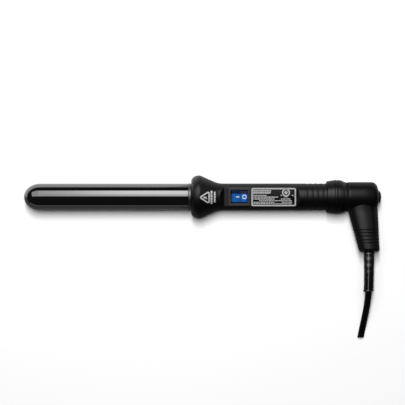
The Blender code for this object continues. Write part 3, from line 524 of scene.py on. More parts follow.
def paint_shade_and_highlight(name, axis, centre, inner, outer, near=1.0, far=1.0):
    """Paint shade (factor below 1) and highlights (factor above 1) into a base colour, scaling it
    from near to far between inner and outer mm from centre.
    """
    tree = LOOKS[name][0].node_tree
    color = tree.nodes["Principled BSDF"].inputs["Base Color"]
    offset = math_node(tree, 'SUBTRACT', object_coord(tree, axis), centre)
    scale = map_range(tree, math_node(tree, 'ABSOLUTE', offset), (inner * MM, outer * MM),
                      (near, far), 'SMOOTHSTEP')
    scaled = node(tree, "VectorMath", {0: color.links[0].from_socket, "Scale": scale},
                  operation='SCALE')
    tree.links.new(scaled["Vector"], color)


# Painted shade: the rocker's colour darkens towards its long edges.
paint_shade_and_highlight("rocker_blue", "Y", AXIS_Y - 1.0 * MM, inner=3.3, outer=4.4, far=0.10)
# Painted shade: the rocker's colour darkens towards its two ends.
paint_shade_and_highlight("rocker_blue", "X", TIP_X + SWITCH_S * MM, inner=6.2, outer=7.5, far=0.40)
# Painted shade along the rocker's valley line.
paint_shade_and_highlight("rocker_blue", "X", TIP_X + 201.2 * MM, inner=0.0, outer=1.5, near=0.70)
# Painted highlight: a lighter band across the rocker towards its barrel end.
paint_shade_and_highlight("rocker_blue", "X", TIP_X + 195.6 * MM, inner=0.0, outer=1.4, near=1.28)

# The elbow's specular level rises along its leg.
elbow_tree = LOOKS["elbow_satin"][0].node_tree
elbow_tree.links.new(
    map_range(elbow_tree, object_coord(elbow_tree, "Y"),
              source=(AXIS_Y - 0.0150, AXIS_Y - 0.0095), target=(0.38, 0.23), curve='SMOOTHSTEP'),
    elbow_tree.nodes["Principled BSDF"].inputs["Specular IOR Level"])


def piece(name, mesh, look, body, replaced=None, sharp=38.0):
    """Finish a piece: move it into the frame in metres, shade it, give it a material and a body."""
    coords = mesh_coords(mesh) * MM + (TIP_X, AXIS_Y, AXIS_Z)
    mesh.vertices.foreach_set("co", coords.ravel())
    mesh.name = name
    ob = bpy.data.objects.new(name, mesh)
    bpy.context.scene.collection.objects.link(ob)
    material, slot = LOOKS[look]
    mesh.materials.clear()
    mesh.materials.append(material)
    mesh.polygons.foreach_set("use_smooth", [True] * len(mesh.polygons))
    mesh.set_sharp_from_angle(angle=math.radians(sharp))
    mesh.update()
    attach(ob, body)
    if replaced:
        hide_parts(replaced)


# ================================================================ barrel
DOME_L = 15.0                       # length of the rounded tip
BARREL_R, BORE_R = 12.5, 11.0
NECK_S, NECK_R = 152.75, 11.95      # narrower end inside the handle
BARREL_END = 165.2
TIP_WALL = 1.5
NECK_SCREW_S = 161.6

dome = [(DOME_L * (1 - math.cos(a)), BARREL_R * math.sin(a))
        for a in np.linspace(0, math.pi / 2, 40)]
dome_inside = [(TIP_WALL + (DOME_L - TIP_WALL) * (1 - math.cos(a)), BORE_R * math.sin(a))
               for a in np.linspace(math.pi / 2, 0, 20)]
profile = fillet(dome + [
    (60, BARREL_R), (110, BARREL_R), (NECK_S, BARREL_R, 0.25), (NECK_S, NECK_R, 0.1),
    (BARREL_END, NECK_R, 0.3), (BARREL_END, BORE_R, 0.3)] + dome_inside)
barrel = boolean(lathe(profile, 160),
                 ('-', cylinder('y', NECK_SCREW_S, 0.0, 1.2, -14, 14, 24, 0.07)))
piece("barrel_tube", barrel, "ceramic_coat", "wand", "barrel")

trim = fillet([(153.0, 12.1, 0.1), (153.0, 12.6, 0.28), (155.3, 12.6, 0.28), (155.3, 12.1, 0.1)])
piece("trim_ring", lathe(trim, 160), "satin_trim", "wand", "barrel_trim_ring")

# ================================================================ handle shells
MOUTH_S, MOUTH_R = 155.5, 12.3      # opening at the barrel end
CREST_S, CREST_R = 162.5, 20.04     # widest ring
FACE_R = 14.6                       # where the rounded shoulder begins
SHOULDER_R = CREST_R - FACE_R       # radius of the shoulder arc
CONE = math.radians(24.1)           # taper from the shoulder to the grip
CONE_S = CREST_S + SHOULDER_R * math.sin(CONE)
CONE_R = FACE_R + SHOULDER_R * math.cos(CONE)
GRIP_R, GRIP_S = 12.5, 185.0
MEET_S = CONE_S + (CONE_R - GRIP_R) / math.tan(CONE)    # cone and grip lines cross here
BLEND_R = (GRIP_S - MEET_S) / math.tan(CONE / 2)
BLEND_S = GRIP_S - BLEND_R * math.sin(CONE)
FLAT_START, FLAT_END = 185.85, 253.3
GROOVES = [263.65 + 4.95 * i for i in range(4)]


def outer_radius(s):
    s = np.asarray(s, dtype=float)
    r = np.full_like(s, GRIP_R)
    r = np.where(s < BLEND_S, CONE_R - (s - CONE_S) * math.tan(CONE), r)
    blend = GRIP_R + BLEND_R - np.sqrt(np.maximum(BLEND_R ** 2 - (GRIP_S - s) ** 2, 0))
    r = np.where((s >= BLEND_S) & (s < GRIP_S), blend, r)
    shoulder = FACE_R + np.sqrt(np.maximum(SHOULDER_R ** 2 - (s - CREST_S) ** 2, 0))
    r = np.where(s < CONE_S, shoulder, r)
    for groove in GROOVES:
        r = r - 0.28 * np.exp(-((s - groove) / 0.85) ** 2)
    return r


def flat_height(s):
    """Height of the recessed flat and its two ramps."""
    front = PANEL_H + (FLAT_START - s) * 1.05
    rear = PANEL_H + (s - FLAT_END) * 1.75
    return smooth_max(smooth_max(np.full_like(s, PANEL_H), front, 0.6), rear, 0.6)


def web_height(s):
    """Height of the inner face under the flat."""
    return 6.8 + np.maximum(0, (184.6 - s) * 0.818) + np.maximum(0, (s - 255.3) * 1.625)


stations = np.concatenate([
    np.linspace(CREST_S, CONE_S, 8)[:-1], np.linspace(CONE_S, BLEND_S, 14)[:-1],
    np.linspace(BLEND_S, 179.0, 5)[:-1], np.arange(179.0, 187.5, 0.16),
    np.arange(187.6, 252.4, 1.2), np.arange(252.6, 258.4, 0.13), np.arange(258.5, 280.75, 0.24)])
outside = arc(MOUTH_S + 0.3, MOUTH_R + 0.3, 0.3, 0.3, 270, 180, 4)
outside += [(MOUTH_S, 13.3), (MOUTH_S, 14.0)]
outside += arc(CREST_S, FACE_R, CREST_S - MOUTH_S, SHOULDER_R, 180, 90, 30)[:-1]
outside += [(float(s), float(r)) for s, r in zip(stations, outer_radius(stations))]
outside += arc(280.8, 12.3, 0.2, 0.2, 90, 0, 3)
outside += [(s, 12.2) for s in (281.0, 285.0, 290.0, 295.0, 297.9)] + [(298.2, 11.9)]
INSIDE_CORNERS = [                  # (s, radius), from the cord end to the barrel end
    (298.2, 8.9), (293.4, 8.9), (293.4, 10.6), (289.7, 10.6), (289.7, 8.9), (286.2, 8.9),
    (286.2, 10.6), (266.4, 10.6), (266.4, 9.0), (265.2, 9.0), (265.2, 10.4), (261.8, 10.4),
    (261.8, 9.0), (260.7, 9.0), (260.7, 10.4), (183.0, 10.4), (169.2, 15.0), (158.2, 15.0),
    (158.2, 12.3)]
inside = []
for (s0, r0), (s1, r1) in zip(INSIDE_CORNERS, INSIDE_CORNERS[1:]):
    steps = max(1, int(abs(s1 - s0) / 1.5))
    inside += [(s0 + (s1 - s0) * j / steps, r0 + (r1 - r0) * j / steps) for j in range(steps)]
inside.append(INSIDE_CORNERS[-1])
wall_s, wall_r = np.array(outside + inside).T
is_outside = np.arange(len(wall_s)) < len(outside)


def half_shell(sign, degrees, panel):
    """Closed half shell on the +h or -h side; angles are measured from that direction."""
    angles = np.radians(degrees)
    grid = np.zeros((len(wall_s), len(angles), 3))
    grid[:, :, 0] = wall_s[:, None]
    for j, angle in enumerate(angles):
        r = wall_r.copy()
        cosine = np.cos(angle)
        if panel and cosine > 0.2:
            cut = is_outside & (wall_s > 178.5) & (wall_s < 259.0)
            r = np.where(cut, smooth_min(r, flat_height(wall_s) / cosine, 0.42), r)
            cut = ~is_outside & (wall_s > 176.0) & (wall_s < 260.0)
            r = np.where(cut, np.minimum(r, web_height(wall_s) / cosine), r)
        grid[:, j, 1] = r * math.sin(angle)
        grid[:, j, 2] = sign * r * cosine
    # The two columns at each edge form the split plane, with a fine chamfer outside.
    for column, side, chamfer, height in ((0, -1, 0.16, SPLIT), (-1, 1, 0.16, SPLIT),
                                          (1, -1, 0.0, SPLIT + 0.2), (-2, 1, 0.0, SPLIT + 0.2)):
        r = wall_r - chamfer * is_outside
        grid[:, column, 1] = side * np.sqrt(r ** 2 - height ** 2)
        grid[:, column, 2] = sign * height
    skin = Skin()
    rows = [skin.points(row) for row in grid]
    skin.grid(rows, wrap_rows=True)
    skin.cap([row[0] for row in rows])
    skin.cap([row[-1] for row in rows])
    return skin.mesh()


def bosses(radius, ends):
    """Screw posts from the split plane; ends are (low, high) heights."""
    return join(*[cylinder('z', s, 0.0, radius, lo, hi, 40, 0.05)
                  for s, (lo, hi) in zip(CASE_SCREWS, ends)])


top_angles = np.concatenate([
    [-89.5, -89.0], np.arange(-86, -60, 3.0), np.arange(-60, -52, 1.5), np.arange(-52, -38, 0.5),
    np.arange(-38, 38, 1.0), np.arange(38, 52, 0.5), np.arange(52, 60, 1.5),
    np.arange(60, 87, 3.0), [89.0, 89.5]])
pilot_holes = [cylinder('z', s, 0.0, 1.45, -1.0, 5.4, 24, 0.05) for s in CASE_SCREWS]
switch_opening = prism(rounded_rect(SWITCH_S - 9.65, SWITCH_S + 9.65, -6.85, 6.85, 0.8, 4),
                       'z', 4.0, 12.0)
shell_top = boolean(half_shell(1, top_angles, True),
                    ('+', bosses(3.4, [(SPLIT, h) for h in (12.9, 7.6, 7.6)])),
                    ('-', join(*pilot_holes, switch_opening)))

COUNTERBORE = [(-22.0, 0.0), (-22.0, 2.85), (-7.5, 2.85), (-7.5, 1.55), (1.0, 1.55), (1.0, 0.0)]
low_angles = np.concatenate([[-89.5, -89.0], np.arange(-87, 88, 2.5), [89.0, 89.5]])
shell_low = boolean(half_shell(-1, low_angles, False),
                    ('+', bosses(4.2, [(h, -SPLIT) for h in (-14.0, -11.4, -11.4)])),
                    ('-', join(*[upright(lathe(COUNTERBORE, 40, phase=0.05), s)
                                 for s in CASE_SCREWS])))
piece("handle_top", shell_top, "handle_grain", "wand", "handle_shell_top", 40)
piece("handle_bottom", shell_low, "handle_grain", "wand", "handle_shell_bottom", 40)


def case_screw(s):
    """Pan head screw pointing up, with a tapered cross recess and a ridged shank."""
    seat, tip = -7.6, 5.0
    head_r, head_t, shank_r = 2.5, 1.9, 1.3
    face = seat - head_t
    profile = [(face, 0.0), (face, head_r * 0.55)]
    profile += arc(seat - head_t * 0.45, head_r * 0.55, head_t * 0.55, head_r * 0.45, 180, 90, 8)
    profile += [(seat, head_r), (seat, shank_r)]
    for i in range(int((tip - seat - 1.2) / 0.35)):
        profile.append((seat + 0.6 + 0.35 * i, shank_r if i % 2 else shank_r * 0.84))
    profile += [(tip - 0.2, shank_r * 0.7), (tip, shank_r * 0.3), (tip, 0.0)]
    screw = upright(lathe(profile, 48, phase=0.03), s)

    def wedge(along):
        rings = []
        for width, length, h in ((0.42, 1.5, face - 0.4), (0.26, 0.675, face + 1.1)):
            corners = [(-length, -width), (length, -width), (length, width), (-length, width)]
            rings.append([(s + (a if along else b), b if along else a, h) for a, b in corners])
        return loft(rings)
    return boolean(screw, ('-', wedge(True)), ('-', wedge(False)))


for i, s in enumerate(CASE_SCREWS, 1):
    piece("case_screw_%d" % i, case_screw(s), "zinc_plate", "wand", "handle_screw_%d" % i, 30)

# ================================================================ rating label and prints
LABEL_TOP = PANEL_H + 0.30
label = stack(231.75, [(20.85, 8.65, 1.3, PANEL_H + 0.08), (20.85, 8.65, 1.3, PANEL_H + 0.26),
                       (20.80, 8.60, 1.25, LABEL_TOP)])
piece("label_plate", label, "label_film", "wand", "rating_label", 50)


def dashes(length, seed, shortest, longest, gap, least):
    """(start, end) of dashes of uneven length, until less than `least` is left."""
    start = 0.0
    while start < length - least:
        seed = (seed * 1103515245 + 12345) % 2 ** 31
        dash = shortest + (longest - shortest) * ((seed >> 8) % 1000) / 1000.0
        end = min(start + dash, length)
        yield start, end
        start = end + gap


label_print = Print(lambda s, y: LABEL_TOP)


def dash_row(start, stop, top, bottom, seed, blanks=(), shortest=0.73864, longest=2.40059,
             gap=0.38779):
    """Row of dashes along s, leaving out those that touch a blank stretch."""
    for a, b in dashes(stop - start, seed, shortest, longest, gap, least=0.27699):
        a += start
        b += start
        if not any(lo < b and hi > a for lo, hi in blanks):
            label_print.bar(a, b, bottom, top, 2, 1)


label_print.loop(rounded_rect(212.4010, 251.0875, -7.3005, 6.9750, 0.5),
                 rounded_rect(211.1084, 252.3339, -8.5839, 8.2305, 1.5))
dash_row(212.8165, 229.2513, 6.2775, 4.9755, seed=7, shortest=1.47729, longest=3.13923,
         gap=0.32316)
dash_row(212.8165, 228.7897, 4.5105, 3.0225, seed=11, shortest=1.29263, longest=2.76991,
         gap=0.32316)
label_print.ring(243.1009, 3.9525, 2.5, 3.7, 56)
label_print.ring(243.1009, 3.9525, 0.05, 1.5, 40)
label_print.bar(241.1619, 245.1322, -0.6975, -0.0465, 2, 1)
LABEL_ROWS = (                      # top, bottom, blank stretches along s
    (1.8135, 0.8835, ((226.1121, 235.9914), (239.4077, 246.7941))),
    (0.3255, -0.6975, ((235.8991, 240.1463), (246.1478, 250.0257))),
    (-1.4415, -2.4645, ((232.9445, 237.0994), (248.9177, 250.0257))),
    (-3.1155, -3.9525, ((212.3549, 217.5254), (248.5484, 250.0257))),
    (-4.5105, -5.3475, ((232.7599, 237.0071), (249.0100, 250.0257))),
    (-5.9055, -6.6495, ((248.5484, 250.0257),)))
for i, (top, bottom, blanks) in enumerate(LABEL_ROWS):
    dash_row(213.0012, 249.9333, top, bottom, 101 + 37 * i, blanks)
piece("label_print", label_print.mesh(), "print_grey", "wand", None, 40)

guard = Print(lambda s, y: math.sqrt(float(outer_radius(s)) ** 2 - y * y))


def offset_outline(corners, distance, steps=8):
    """Rounded outline at a distance outside a counter-clockwise polygon."""
    points = []
    for i, corner in enumerate(corners):
        p, before, after = (Vector(c) for c in (corner, corners[i - 1],
                                                corners[(i + 1) % len(corners)]))
        e0, e1 = (p - before).normalized(), (after - p).normalized()
        a0 = math.atan2(-e0.x, e0.y)
        a1 = math.atan2(-e1.x, e1.y)
        while a1 < a0:
            a1 += 2 * math.pi
        for j in range(steps + 1):
            t = a0 + (a1 - a0) * j / steps
            points.append((p.x + distance * math.cos(t), p.y + distance * math.sin(t)))
    # Even spacing along the straight runs as well.
    out = []
    for i, point in enumerate(points):
        p, q = Vector(point), Vector(points[(i + 1) % len(points)])
        k = 12 if i % (steps + 1) == steps else 1
        out += [tuple(p + (q - p) * j / k) for j in range(k)]
    return out


TRIANGLE = [(165.4049, -0.558), (171.0832, -4.278), (171.0832, 3.162)]
guard.loop(offset_outline(TRIANGLE, 0.33), offset_outline(TRIANGLE, 1.55))
for y, s0, s1, width in ((-0.651, 166.8360, 169.6982, 1.4), (-1.767, 169.4212, 170.4369, 0.6)):
    guard.stroke([(s0 + (s1 - s0) * i / 6, y) for i in range(7)], width)
for s0, s1, top, bottom, seed in ((173.3914, 175.1457, 5.580, -6.324, 5),
                                  (176.4383, 178.0080, 4.650, -5.022, 9)):
    for a, b in dashes(top - bottom, seed, shortest=0.93, longest=2.418, gap=0.3534, least=0.279):
        guard.bar(s0, s1, top - b, top - a, 2, 4)
piece("guard_print", guard.mesh(), "print_white", "wand", None, 40)

# ================================================================ switch housing
PIVOT_H = 6.3                       # rocker pivot
BEZEL_LOW = PANEL_H + 0.12
BEZEL_TOP = BEZEL_LOW + 1.45
BEZEL_L, BEZEL_W = 10.2, 8.6        # half length and half width
BEZEL_ROUND, LIP_ROUND = 0.55, 0.35
WELL_W = 5.95                       # half width of the well the rocker sits in


def well_length(h):
    """Half length of the well, an arc about the pivot."""
    z = h - PIVOT_H
    return math.sqrt(8.75 ** 2 - z * z)


def quarter(radius, degrees):
    a = math.radians(degrees)
    return radius * (1 - math.cos(a)), radius * math.sin(a)


levels = [(9.5, 6.7, 0.6, -3.0), (9.5, 6.7, 0.6, BEZEL_LOW), (BEZEL_L, BEZEL_W, 1.3, BEZEL_LOW),
          (BEZEL_L, BEZEL_W, 1.3, BEZEL_TOP - BEZEL_ROUND)]
for degrees in (22.5, 45, 67.5, 90):
    inset, rise = quarter(BEZEL_ROUND, degrees)
    levels.append((BEZEL_L - inset, BEZEL_W - inset, 1.3, BEZEL_TOP - BEZEL_ROUND + rise))
levels.append((well_length(BEZEL_TOP) + LIP_ROUND, WELL_W + LIP_ROUND, 1.1, BEZEL_TOP))
for degrees in (60, 30, 0):
    inset, rise = quarter(LIP_ROUND, degrees)
    h = BEZEL_TOP - LIP_ROUND + rise
    levels.append((well_length(h) + inset, WELL_W + inset, 0.8 + inset, h))
levels += [(well_length(h), WELL_W, 0.5, h) for h in (9.2, 8.6, 8.0, 7.2, 6.6)]
levels += [(well_length(PIVOT_H), WELL_W, 0.4, PIVOT_H), (7.9, WELL_W, 0.4, PIVOT_H),
           (7.9, WELL_W, 0.4, -1.6)]
terminal_slots = join(box(SWITCH_S - 0.55, SWITCH_S + 0.55, -2.6, 2.6, -5, 0),
                      box(SWITCH_S + 5.45, SWITCH_S + 6.55, -2.6, 2.6, -5, 0))
housing = boolean(stack(SWITCH_S, levels),
                  ('-', cylinder('y', SWITCH_S, PIVOT_H, 1.25, -8, 8)), ('-', terminal_slots))
piece("switch_body", housing, "bezel_satin", "wand", "switch_housing", 32)

# ================================================================ rocker
ROCKER_R = 8.6                      # end faces, about the pivot
SLOPE = math.tan(math.radians(10.0))    # rise of each half from the valley
VALLEY = 3.3                        # valley height above the pivot
ROCKER_W = 5.8                      # half width
EDGE_R = 1.5                        # rounding of the long edges


def rocker_section(inset):
    """Rocker section inset on its top and end faces."""
    radius = ROCKER_R - inset
    valley = VALLEY - inset
    square = 1 + SLOPE * SLOPE
    end_x = (-valley * SLOPE
             + math.sqrt((valley * SLOPE) ** 2 - square * (valley ** 2 - radius ** 2))) / square
    end_z = valley + SLOPE * end_x
    a0, a1 = math.asin(0.6 / radius), math.atan2(end_z, end_x)
    angles = [a0 + (a1 - a0) * i / 10 for i in range(10)]
    face = [(radius * math.cos(a), radius * math.sin(a)) for a in angles]
    points = face + [(end_x, end_z, 0.55, 6)]
    points += [(end_x * t, valley + SLOPE * end_x * t) for t in (0.75, 0.5, 0.3)]
    points += [(0.0, valley, 2.0, 6)]
    points += [(-end_x * t, valley + SLOPE * end_x * t) for t in (0.3, 0.5, 0.75)]
    points += [(-end_x, end_z, 0.55, 6)] + [(-x, z) for x, z in reversed(face)]
    return fillet(points)


def turned(mesh):
    """Tilt about the rocker pivot."""
    pivot = Vector((SWITCH_S, 0.0, PIVOT_H))
    mesh.transform(Matrix.Translation(pivot) @ Matrix.Rotation(math.radians(11.0), 4, 'Y')
                   @ Matrix.Translation(-pivot))
    return mesh


edge = [(-ROCKER_W + EDGE_R * (1 - math.cos(math.radians(a))),
         EDGE_R * (1 - math.sin(math.radians(a)))) for a in np.linspace(0, 90, 9)]
slices = edge + [(y, 0.0) for y in np.linspace(-ROCKER_W + EDGE_R, ROCKER_W - EDGE_R, 9)[1:-1]]
slices += [(-y, inset) for y, inset in reversed(edge)]
paddle = loft([[(SWITCH_S + x, y, PIVOT_H + z) for x, z in rocker_section(inset)]
               for y, inset in slices])
paddle = boolean(paddle, ('+', cylinder('y', SWITCH_S, PIVOT_H, 1.05, -6.6, 6.6)),
                 ('+', cylinder('z', SWITCH_S, 0.0, 2.4, PIVOT_H - 3.2, PIVOT_H + 0.9, 40)),
                 ('-', cylinder('z', SWITCH_S, 0.0, 1.55, PIVOT_H - 5.0, PIVOT_H + 1.8)))
piece("rocker_paddle", turned(paddle), "rocker_blue", "rocker", "rocker")

marks = Print(lambda s, y: PIVOT_H + VALLEY + SLOPE * abs(s - SWITCH_S) + 0.012)
marks.stroke([(SWITCH_S - 3.75 + 3.1 * i / 8, 0.0) for i in range(9)], 1.35)
marks.ring(SWITCH_S + 4.08, 0.0, 1.25, 2.1, 48)
piece("rocker_marks", turned(marks.mesh()), "mark_white", "rocker", None, 40)

# ================================================================ plunger and spring
TIP_BALL = 1.2
profile = [(-4.2 - TIP_BALL, 0.0)]
profile += [(-4.2 - TIP_BALL * math.cos(a), TIP_BALL * math.sin(a))
            for a in np.linspace(0.15, math.pi / 2, 12)]
profile += [(-4.0, 1.35), (-0.9, 1.35), (-0.7, 1.15), (-0.7, 0.0)]
piece("plunger_pin", turned(upright(lathe(profile, 40), SWITCH_S, PIVOT_H)), "bright_steel",
      "rocker", "switch_plunger", 35)

COIL_R, COIL_RISE, COIL_TURN = 1.15, 1.8, 6 * math.pi
coil = [Vector((SWITCH_S + COIL_R * math.cos(a), COIL_R * math.sin(a),
                PIVOT_H - 0.35 + COIL_RISE * a / COIL_TURN)) for a in np.linspace(0, COIL_TURN, 90)]
piece("plunger_spring", turned(sweep(coil, 0.2, 12)), "bright_steel", "rocker",
      "switch_spring", 40)

# ================================================================ rear collar, (s, radius)
FRONT_FLARE = [(281.45, 14.45), (282.1, 14.64), (282.9, 14.79), (283.9, 14.92), (285.2, 15.12),
               (286.6, 15.38), (287.7, 15.60)]
REAR_TAPER = [(292.1, 15.74), (293.3, 15.70), (294.5, 15.44), (295.5, 15.04), (296.3, 14.60),
              (297.1, 14.15), (297.8, 13.9), (298.4, 13.82)]
collar = fillet([(281.2, 12.62), (281.2, 13.9), (281.25, 14.35, 0.2), FRONT_FLARE[0]])
collar += spline(FRONT_FLARE)[1:]
collar += fillet([
    FRONT_FLARE[-1], (287.9, 15.60, 0.1), (288.1, 15.22, 0.1), (288.45, 15.22, 0.1),
    (288.6, 15.70, 0.12), (289.5, 15.86, 0.5), (290.5, 15.80, 0.2), (290.75, 15.25, 0.1),
    (291.15, 15.25, 0.1), (291.4, 15.64, 0.12), REAR_TAPER[0]])[1:]
collar += spline(REAR_TAPER)[1:]
collar += arc(298.9, 13.3, 0.5, 0.5, 90, 0, 5)[1:]
collar += [(299.4, 8.9), (298.45, 8.9), (298.45, 12.4), (281.35, 12.4), (281.2, 12.5)]
piece("collar_ring", lathe(collar, 160), "collar_satin", "wand", "rear_collar", 50)

# ================================================================ swivel washer
washer = fillet([(299.65, 8.9, 0.1), (299.65, 13.25, 0.2), (300.35, 13.25, 0.2),
                 (300.35, 8.9, 0.1)])
piece("washer_ring", lathe(washer, 128), "washer_rubber", "cord_elbow", "swivel_washer", 40)

# ================================================================ elbow
# t is the distance from the wand axis towards -Y.
LEG_SLOPE = math.tan(math.radians(8.30))
GROOVE_TABLE = ((31.95, 0.5), (34.75, 0.5), (37.75, 0.42), (41.3, 0.5), (44.15, 0.5))  # t, depth
LEG_END, LEG_END_R = 49.2, 1.9


def cross_ring(t, s, half_s, half_h, sides, phase=0.0, h=0.0, lean=0.0):
    """Oval at t, centred on (s, h); lean pushes its +s side further out."""
    a = ring_angles(sides) + phase
    return np.stack([s + half_s * np.cos(a), -(t + lean * np.cos(a)), h + half_h * np.sin(a)], 1)


def leg_ring(t, inset_s, inset_h, sides, phase=0.0):
    return cross_ring(t, 313.0 + LEG_SLOPE * t, 15.2 - 0.113 * t - inset_s,
                      10.9 - 0.026 * t - inset_h, sides, phase)


def groove_cut(t):
    return sum(depth * math.exp(-abs((t - centre) / 0.36) ** 2.6)
               for centre, depth in GROOVE_TABLE)


leg_t = [*np.arange(0, 30.0, 1.2), *np.arange(30.0, 46.2, 0.17), *np.arange(46.4, LEG_END, 0.7)]
leg_rows = [(t, groove_cut(t)) for t in leg_t]
for a in np.radians(np.linspace(0, 90, 12)):
    leg_rows.append((LEG_END + LEG_END_R * math.sin(a), LEG_END_R * (1 - math.cos(a))))
leg = boolean(loft([leg_ring(t, inset, inset, 120) for t, inset in leg_rows]),
              ('-', box(290.0, 301.6, -20.0, 5.0, -20.0, 20.0)))

# Body about the wand axis; its end rounding is longer above and below than at the sides.
BODY_R, BODY_END = 13.8, 328.5
END_R = 8.3                         # radius left at the end of the rounding
theta = ring_angles(144)            # 90 degrees is +h
rounding = 5.5 + 9.0 * np.sin(theta) ** 2
round_s = BODY_END - rounding


def body_ring(s, r):
    return np.stack([np.broadcast_to(s, theta.shape), r * np.cos(theta), r * np.sin(theta)], 1)


rings = [body_ring(300.6, 3.0), body_ring(300.6, 9.0)]
for a in np.radians(np.linspace(90, 12, 7)):
    rings.append(body_ring(300.95 - 0.35 * math.sin(a), 13.22 + 0.35 * math.cos(a)))
for s, r in ((301.5, 13.69), (302.0, 13.76), (302.5, 13.79), (302.8, BODY_R)):
    rings.append(body_ring(s, r))
for k in range(1, 13):
    rings.append(body_ring(302.8 + (round_s - 302.8) * k / 12, BODY_R))
for b in np.radians(np.linspace(90, 0, 26)[1:]):
    rings.append(body_ring(round_s + rounding * math.cos(b),
                           END_R + (BODY_R - END_R) * math.sin(b)))
for k in range(1, 5):
    rings.append(body_ring(BODY_END + 1.5 * k / 4, END_R - 2.9 * k / 4))
rings.append(body_ring(330.0, 5.2))
body = loft(rings)

body_cavity = lathe([(303.3, 0.0), (303.3, 11.3), (313.0, 11.3), (320.0, 9.6), (323.8, 8.2),
                     (325.6, 6.4), (325.6, 0.0)], 64, phase=0.02)
leg_cavity = boolean(loft([leg_ring(t, 2.4, 2.2, 56, 0.013) for t in np.linspace(0.0, 46.6, 12)]),
                     ('-', box(290.0, 303.3, -30.0, 5.0, -20.0, 20.0)))
# Near the wand axis the leg cavity stays inside this cylinder.
core = lathe([(295.0, 0.0), (295.0, 11.2), (324.6, 11.2), (324.6, 0.0)], 64, phase=0.11)
around_core = boolean(box(300.0, 345.0, -14.0, 5.0, -20.0, 20.0), ('-', core),
                      ('-', box(290.0, 350.0, -30.0, -10.5, -25.0, 25.0)))
leg_cavity = boolean(leg_cavity, ('-', around_core))
flatted_hole = boolean(cylinder('x', 0.0, 0.0, 3.6, 300.0, 306.0, 32, 0.04),
                       ('-', box(299, 307, -5, 5, 2.85, 6)), ('-', box(299, 307, -5, 5, -6, -2.85)))
elbow = boolean(body, ('+', leg), ('-', body_cavity), ('-', leg_cavity), ('-', flatted_hole),
                ('-', cylinder('x', 0, 0, 5.1, 320.0, 335.0, 48, 0.03)),
                ('-', cylinder('y', 320.1, 0.0, 5.2, -56.0, -44.0, 48, 0.03)))
LIFT = 7.5                          # degrees; the leg rests a little above level
RISE = math.tan(math.radians(LIFT))
elbow.transform(Matrix.Rotation(math.radians(-LIFT), 4, 'X'))
piece("elbow_shell", elbow, "elbow_satin", "cord_elbow", "elbow_housing", 34)

profile = [(326.0, 0.0), (326.0, 4.6), (326.3, 4.9), (330.12, 4.9), (330.12, 5.3), (330.22, 5.4)]
profile += [(330.22 + 1.78 * math.sin(a), 5.4 * math.cos(a))
            for a in np.linspace(0.08, math.pi / 2, 18)[:-1]] + [(332.0, 0.0)]
piece("elbow_plug", lathe(profile, 96), "collar_satin", "cord_elbow", "elbow_cap", 50)

# ================================================================ cord
CORD_START = 25.0
BEND_T = 58.0                       # the cord starts to droop
SLEEVE_END = 87.2
CORD_END = 132.1
DROOP = 0.42                        # slope lost by the end of the sleeve
END_DROP = AXIS_Z / MM - 3.0        # depth of the cord end below the wand axis


def cord_s(t):
    return 320.1 - 0.0175 * (t - 51.0) - 0.00184 * max(0.0, t - SLEEVE_END) ** 2


def cord_h(t):
    if t <= SLEEVE_END:
        run = SLEEVE_END - BEND_T
        u = max(0.0, t - BEND_T) / run
        return RISE * t - DROOP * run * u ** 3 / 3
    start = cord_h(SLEEVE_END)
    span = CORD_END - SLEEVE_END
    u = (t - SLEEVE_END) / span
    return ((2 * u ** 3 - 3 * u * u + 1) * start
            + (u ** 3 - 2 * u * u + u) * (RISE - DROOP) * span
            - (3 * u * u - 2 * u ** 3) * END_DROP)


def cord_ring(t, radius, sides, lean=0.0):
    """Ring at t, widened so that the slanting cord keeps its radius."""
    d = 0.05
    mid = min(t, CORD_END - d)
    slope_s = (cord_s(mid + d) - cord_s(mid - d)) / (2 * d)
    slope_h = (cord_h(mid + d) - cord_h(mid - d)) / (2 * d)
    return cross_ring(t, cord_s(t), radius * math.hypot(1, slope_s),
                      radius * math.hypot(1, slope_h), sides, h=cord_h(t), lean=lean)


def cord_tube(outer, inner, sides):
    """Tube between outer and inner walls given as (t, radius[, lean])."""
    return loft([cord_ring(row[0], row[1], sides, *row[2:]) for row in outer + inner[::-1]],
                closed=True)


jacket_t = [CORD_START, 26.0, *np.arange(30, BEND_T, 8.0), *np.arange(BEND_T, 87, 1.5),
            *np.linspace(SLEEVE_END, CORD_END - 0.2, 90)]
outer = [(CORD_START, 2.85)] + [(t + 0.15, 3.0) for t in jacket_t[:-1]]
outer += [(CORD_END - 0.15, 3.0), (CORD_END - 0.04, 2.95), (CORD_END, 2.85)]
inner = [(CORD_START, 2.15)] + [(t, 2.1) for t in jacket_t[1:]] + [(CORD_END, 2.12)]
piece("cord_sheath", cord_tube(outer, inner, 56), "cord_pvc", "cord_elbow", "cord_jacket", 40)

sleeve = [(40.2, 6.1), (40.4, 6.3), (42.4, 6.3), (42.6, 6.1), (42.6, 4.75), (51.5, 4.75),
          (51.9, 4.92)]
for t in np.arange(52.3, 84.6, 0.35):
    base = 4.95 - 0.60 * (1 - math.exp(-(t - 52.0) / 11.0))
    sleeve.append((t, base + 0.045 * math.cos(2 * math.pi * (t - 52.0) / 6.1)))
for t in np.linspace(84.7, 86.7, 10):
    u = (t - 84.7) / 2.0
    sleeve.append((t, 4.38 + 0.52 * u ** 1.6, -0.45 * u ** 2))
sleeve += [(86.95, 4.92, -0.45), (87.15, 4.80, -0.45), (SLEEVE_END, 4.5, -0.45)]
bore = [(t, 3.2) for t in [40.2, 50.0, *np.arange(BEND_T, 86.9, 1.5), 86.9]]
piece("strain_sleeve", cord_tube(sleeve, bore, 72), "sleeve_pvc", "cord_elbow",
      "cord_sleeve", 44)

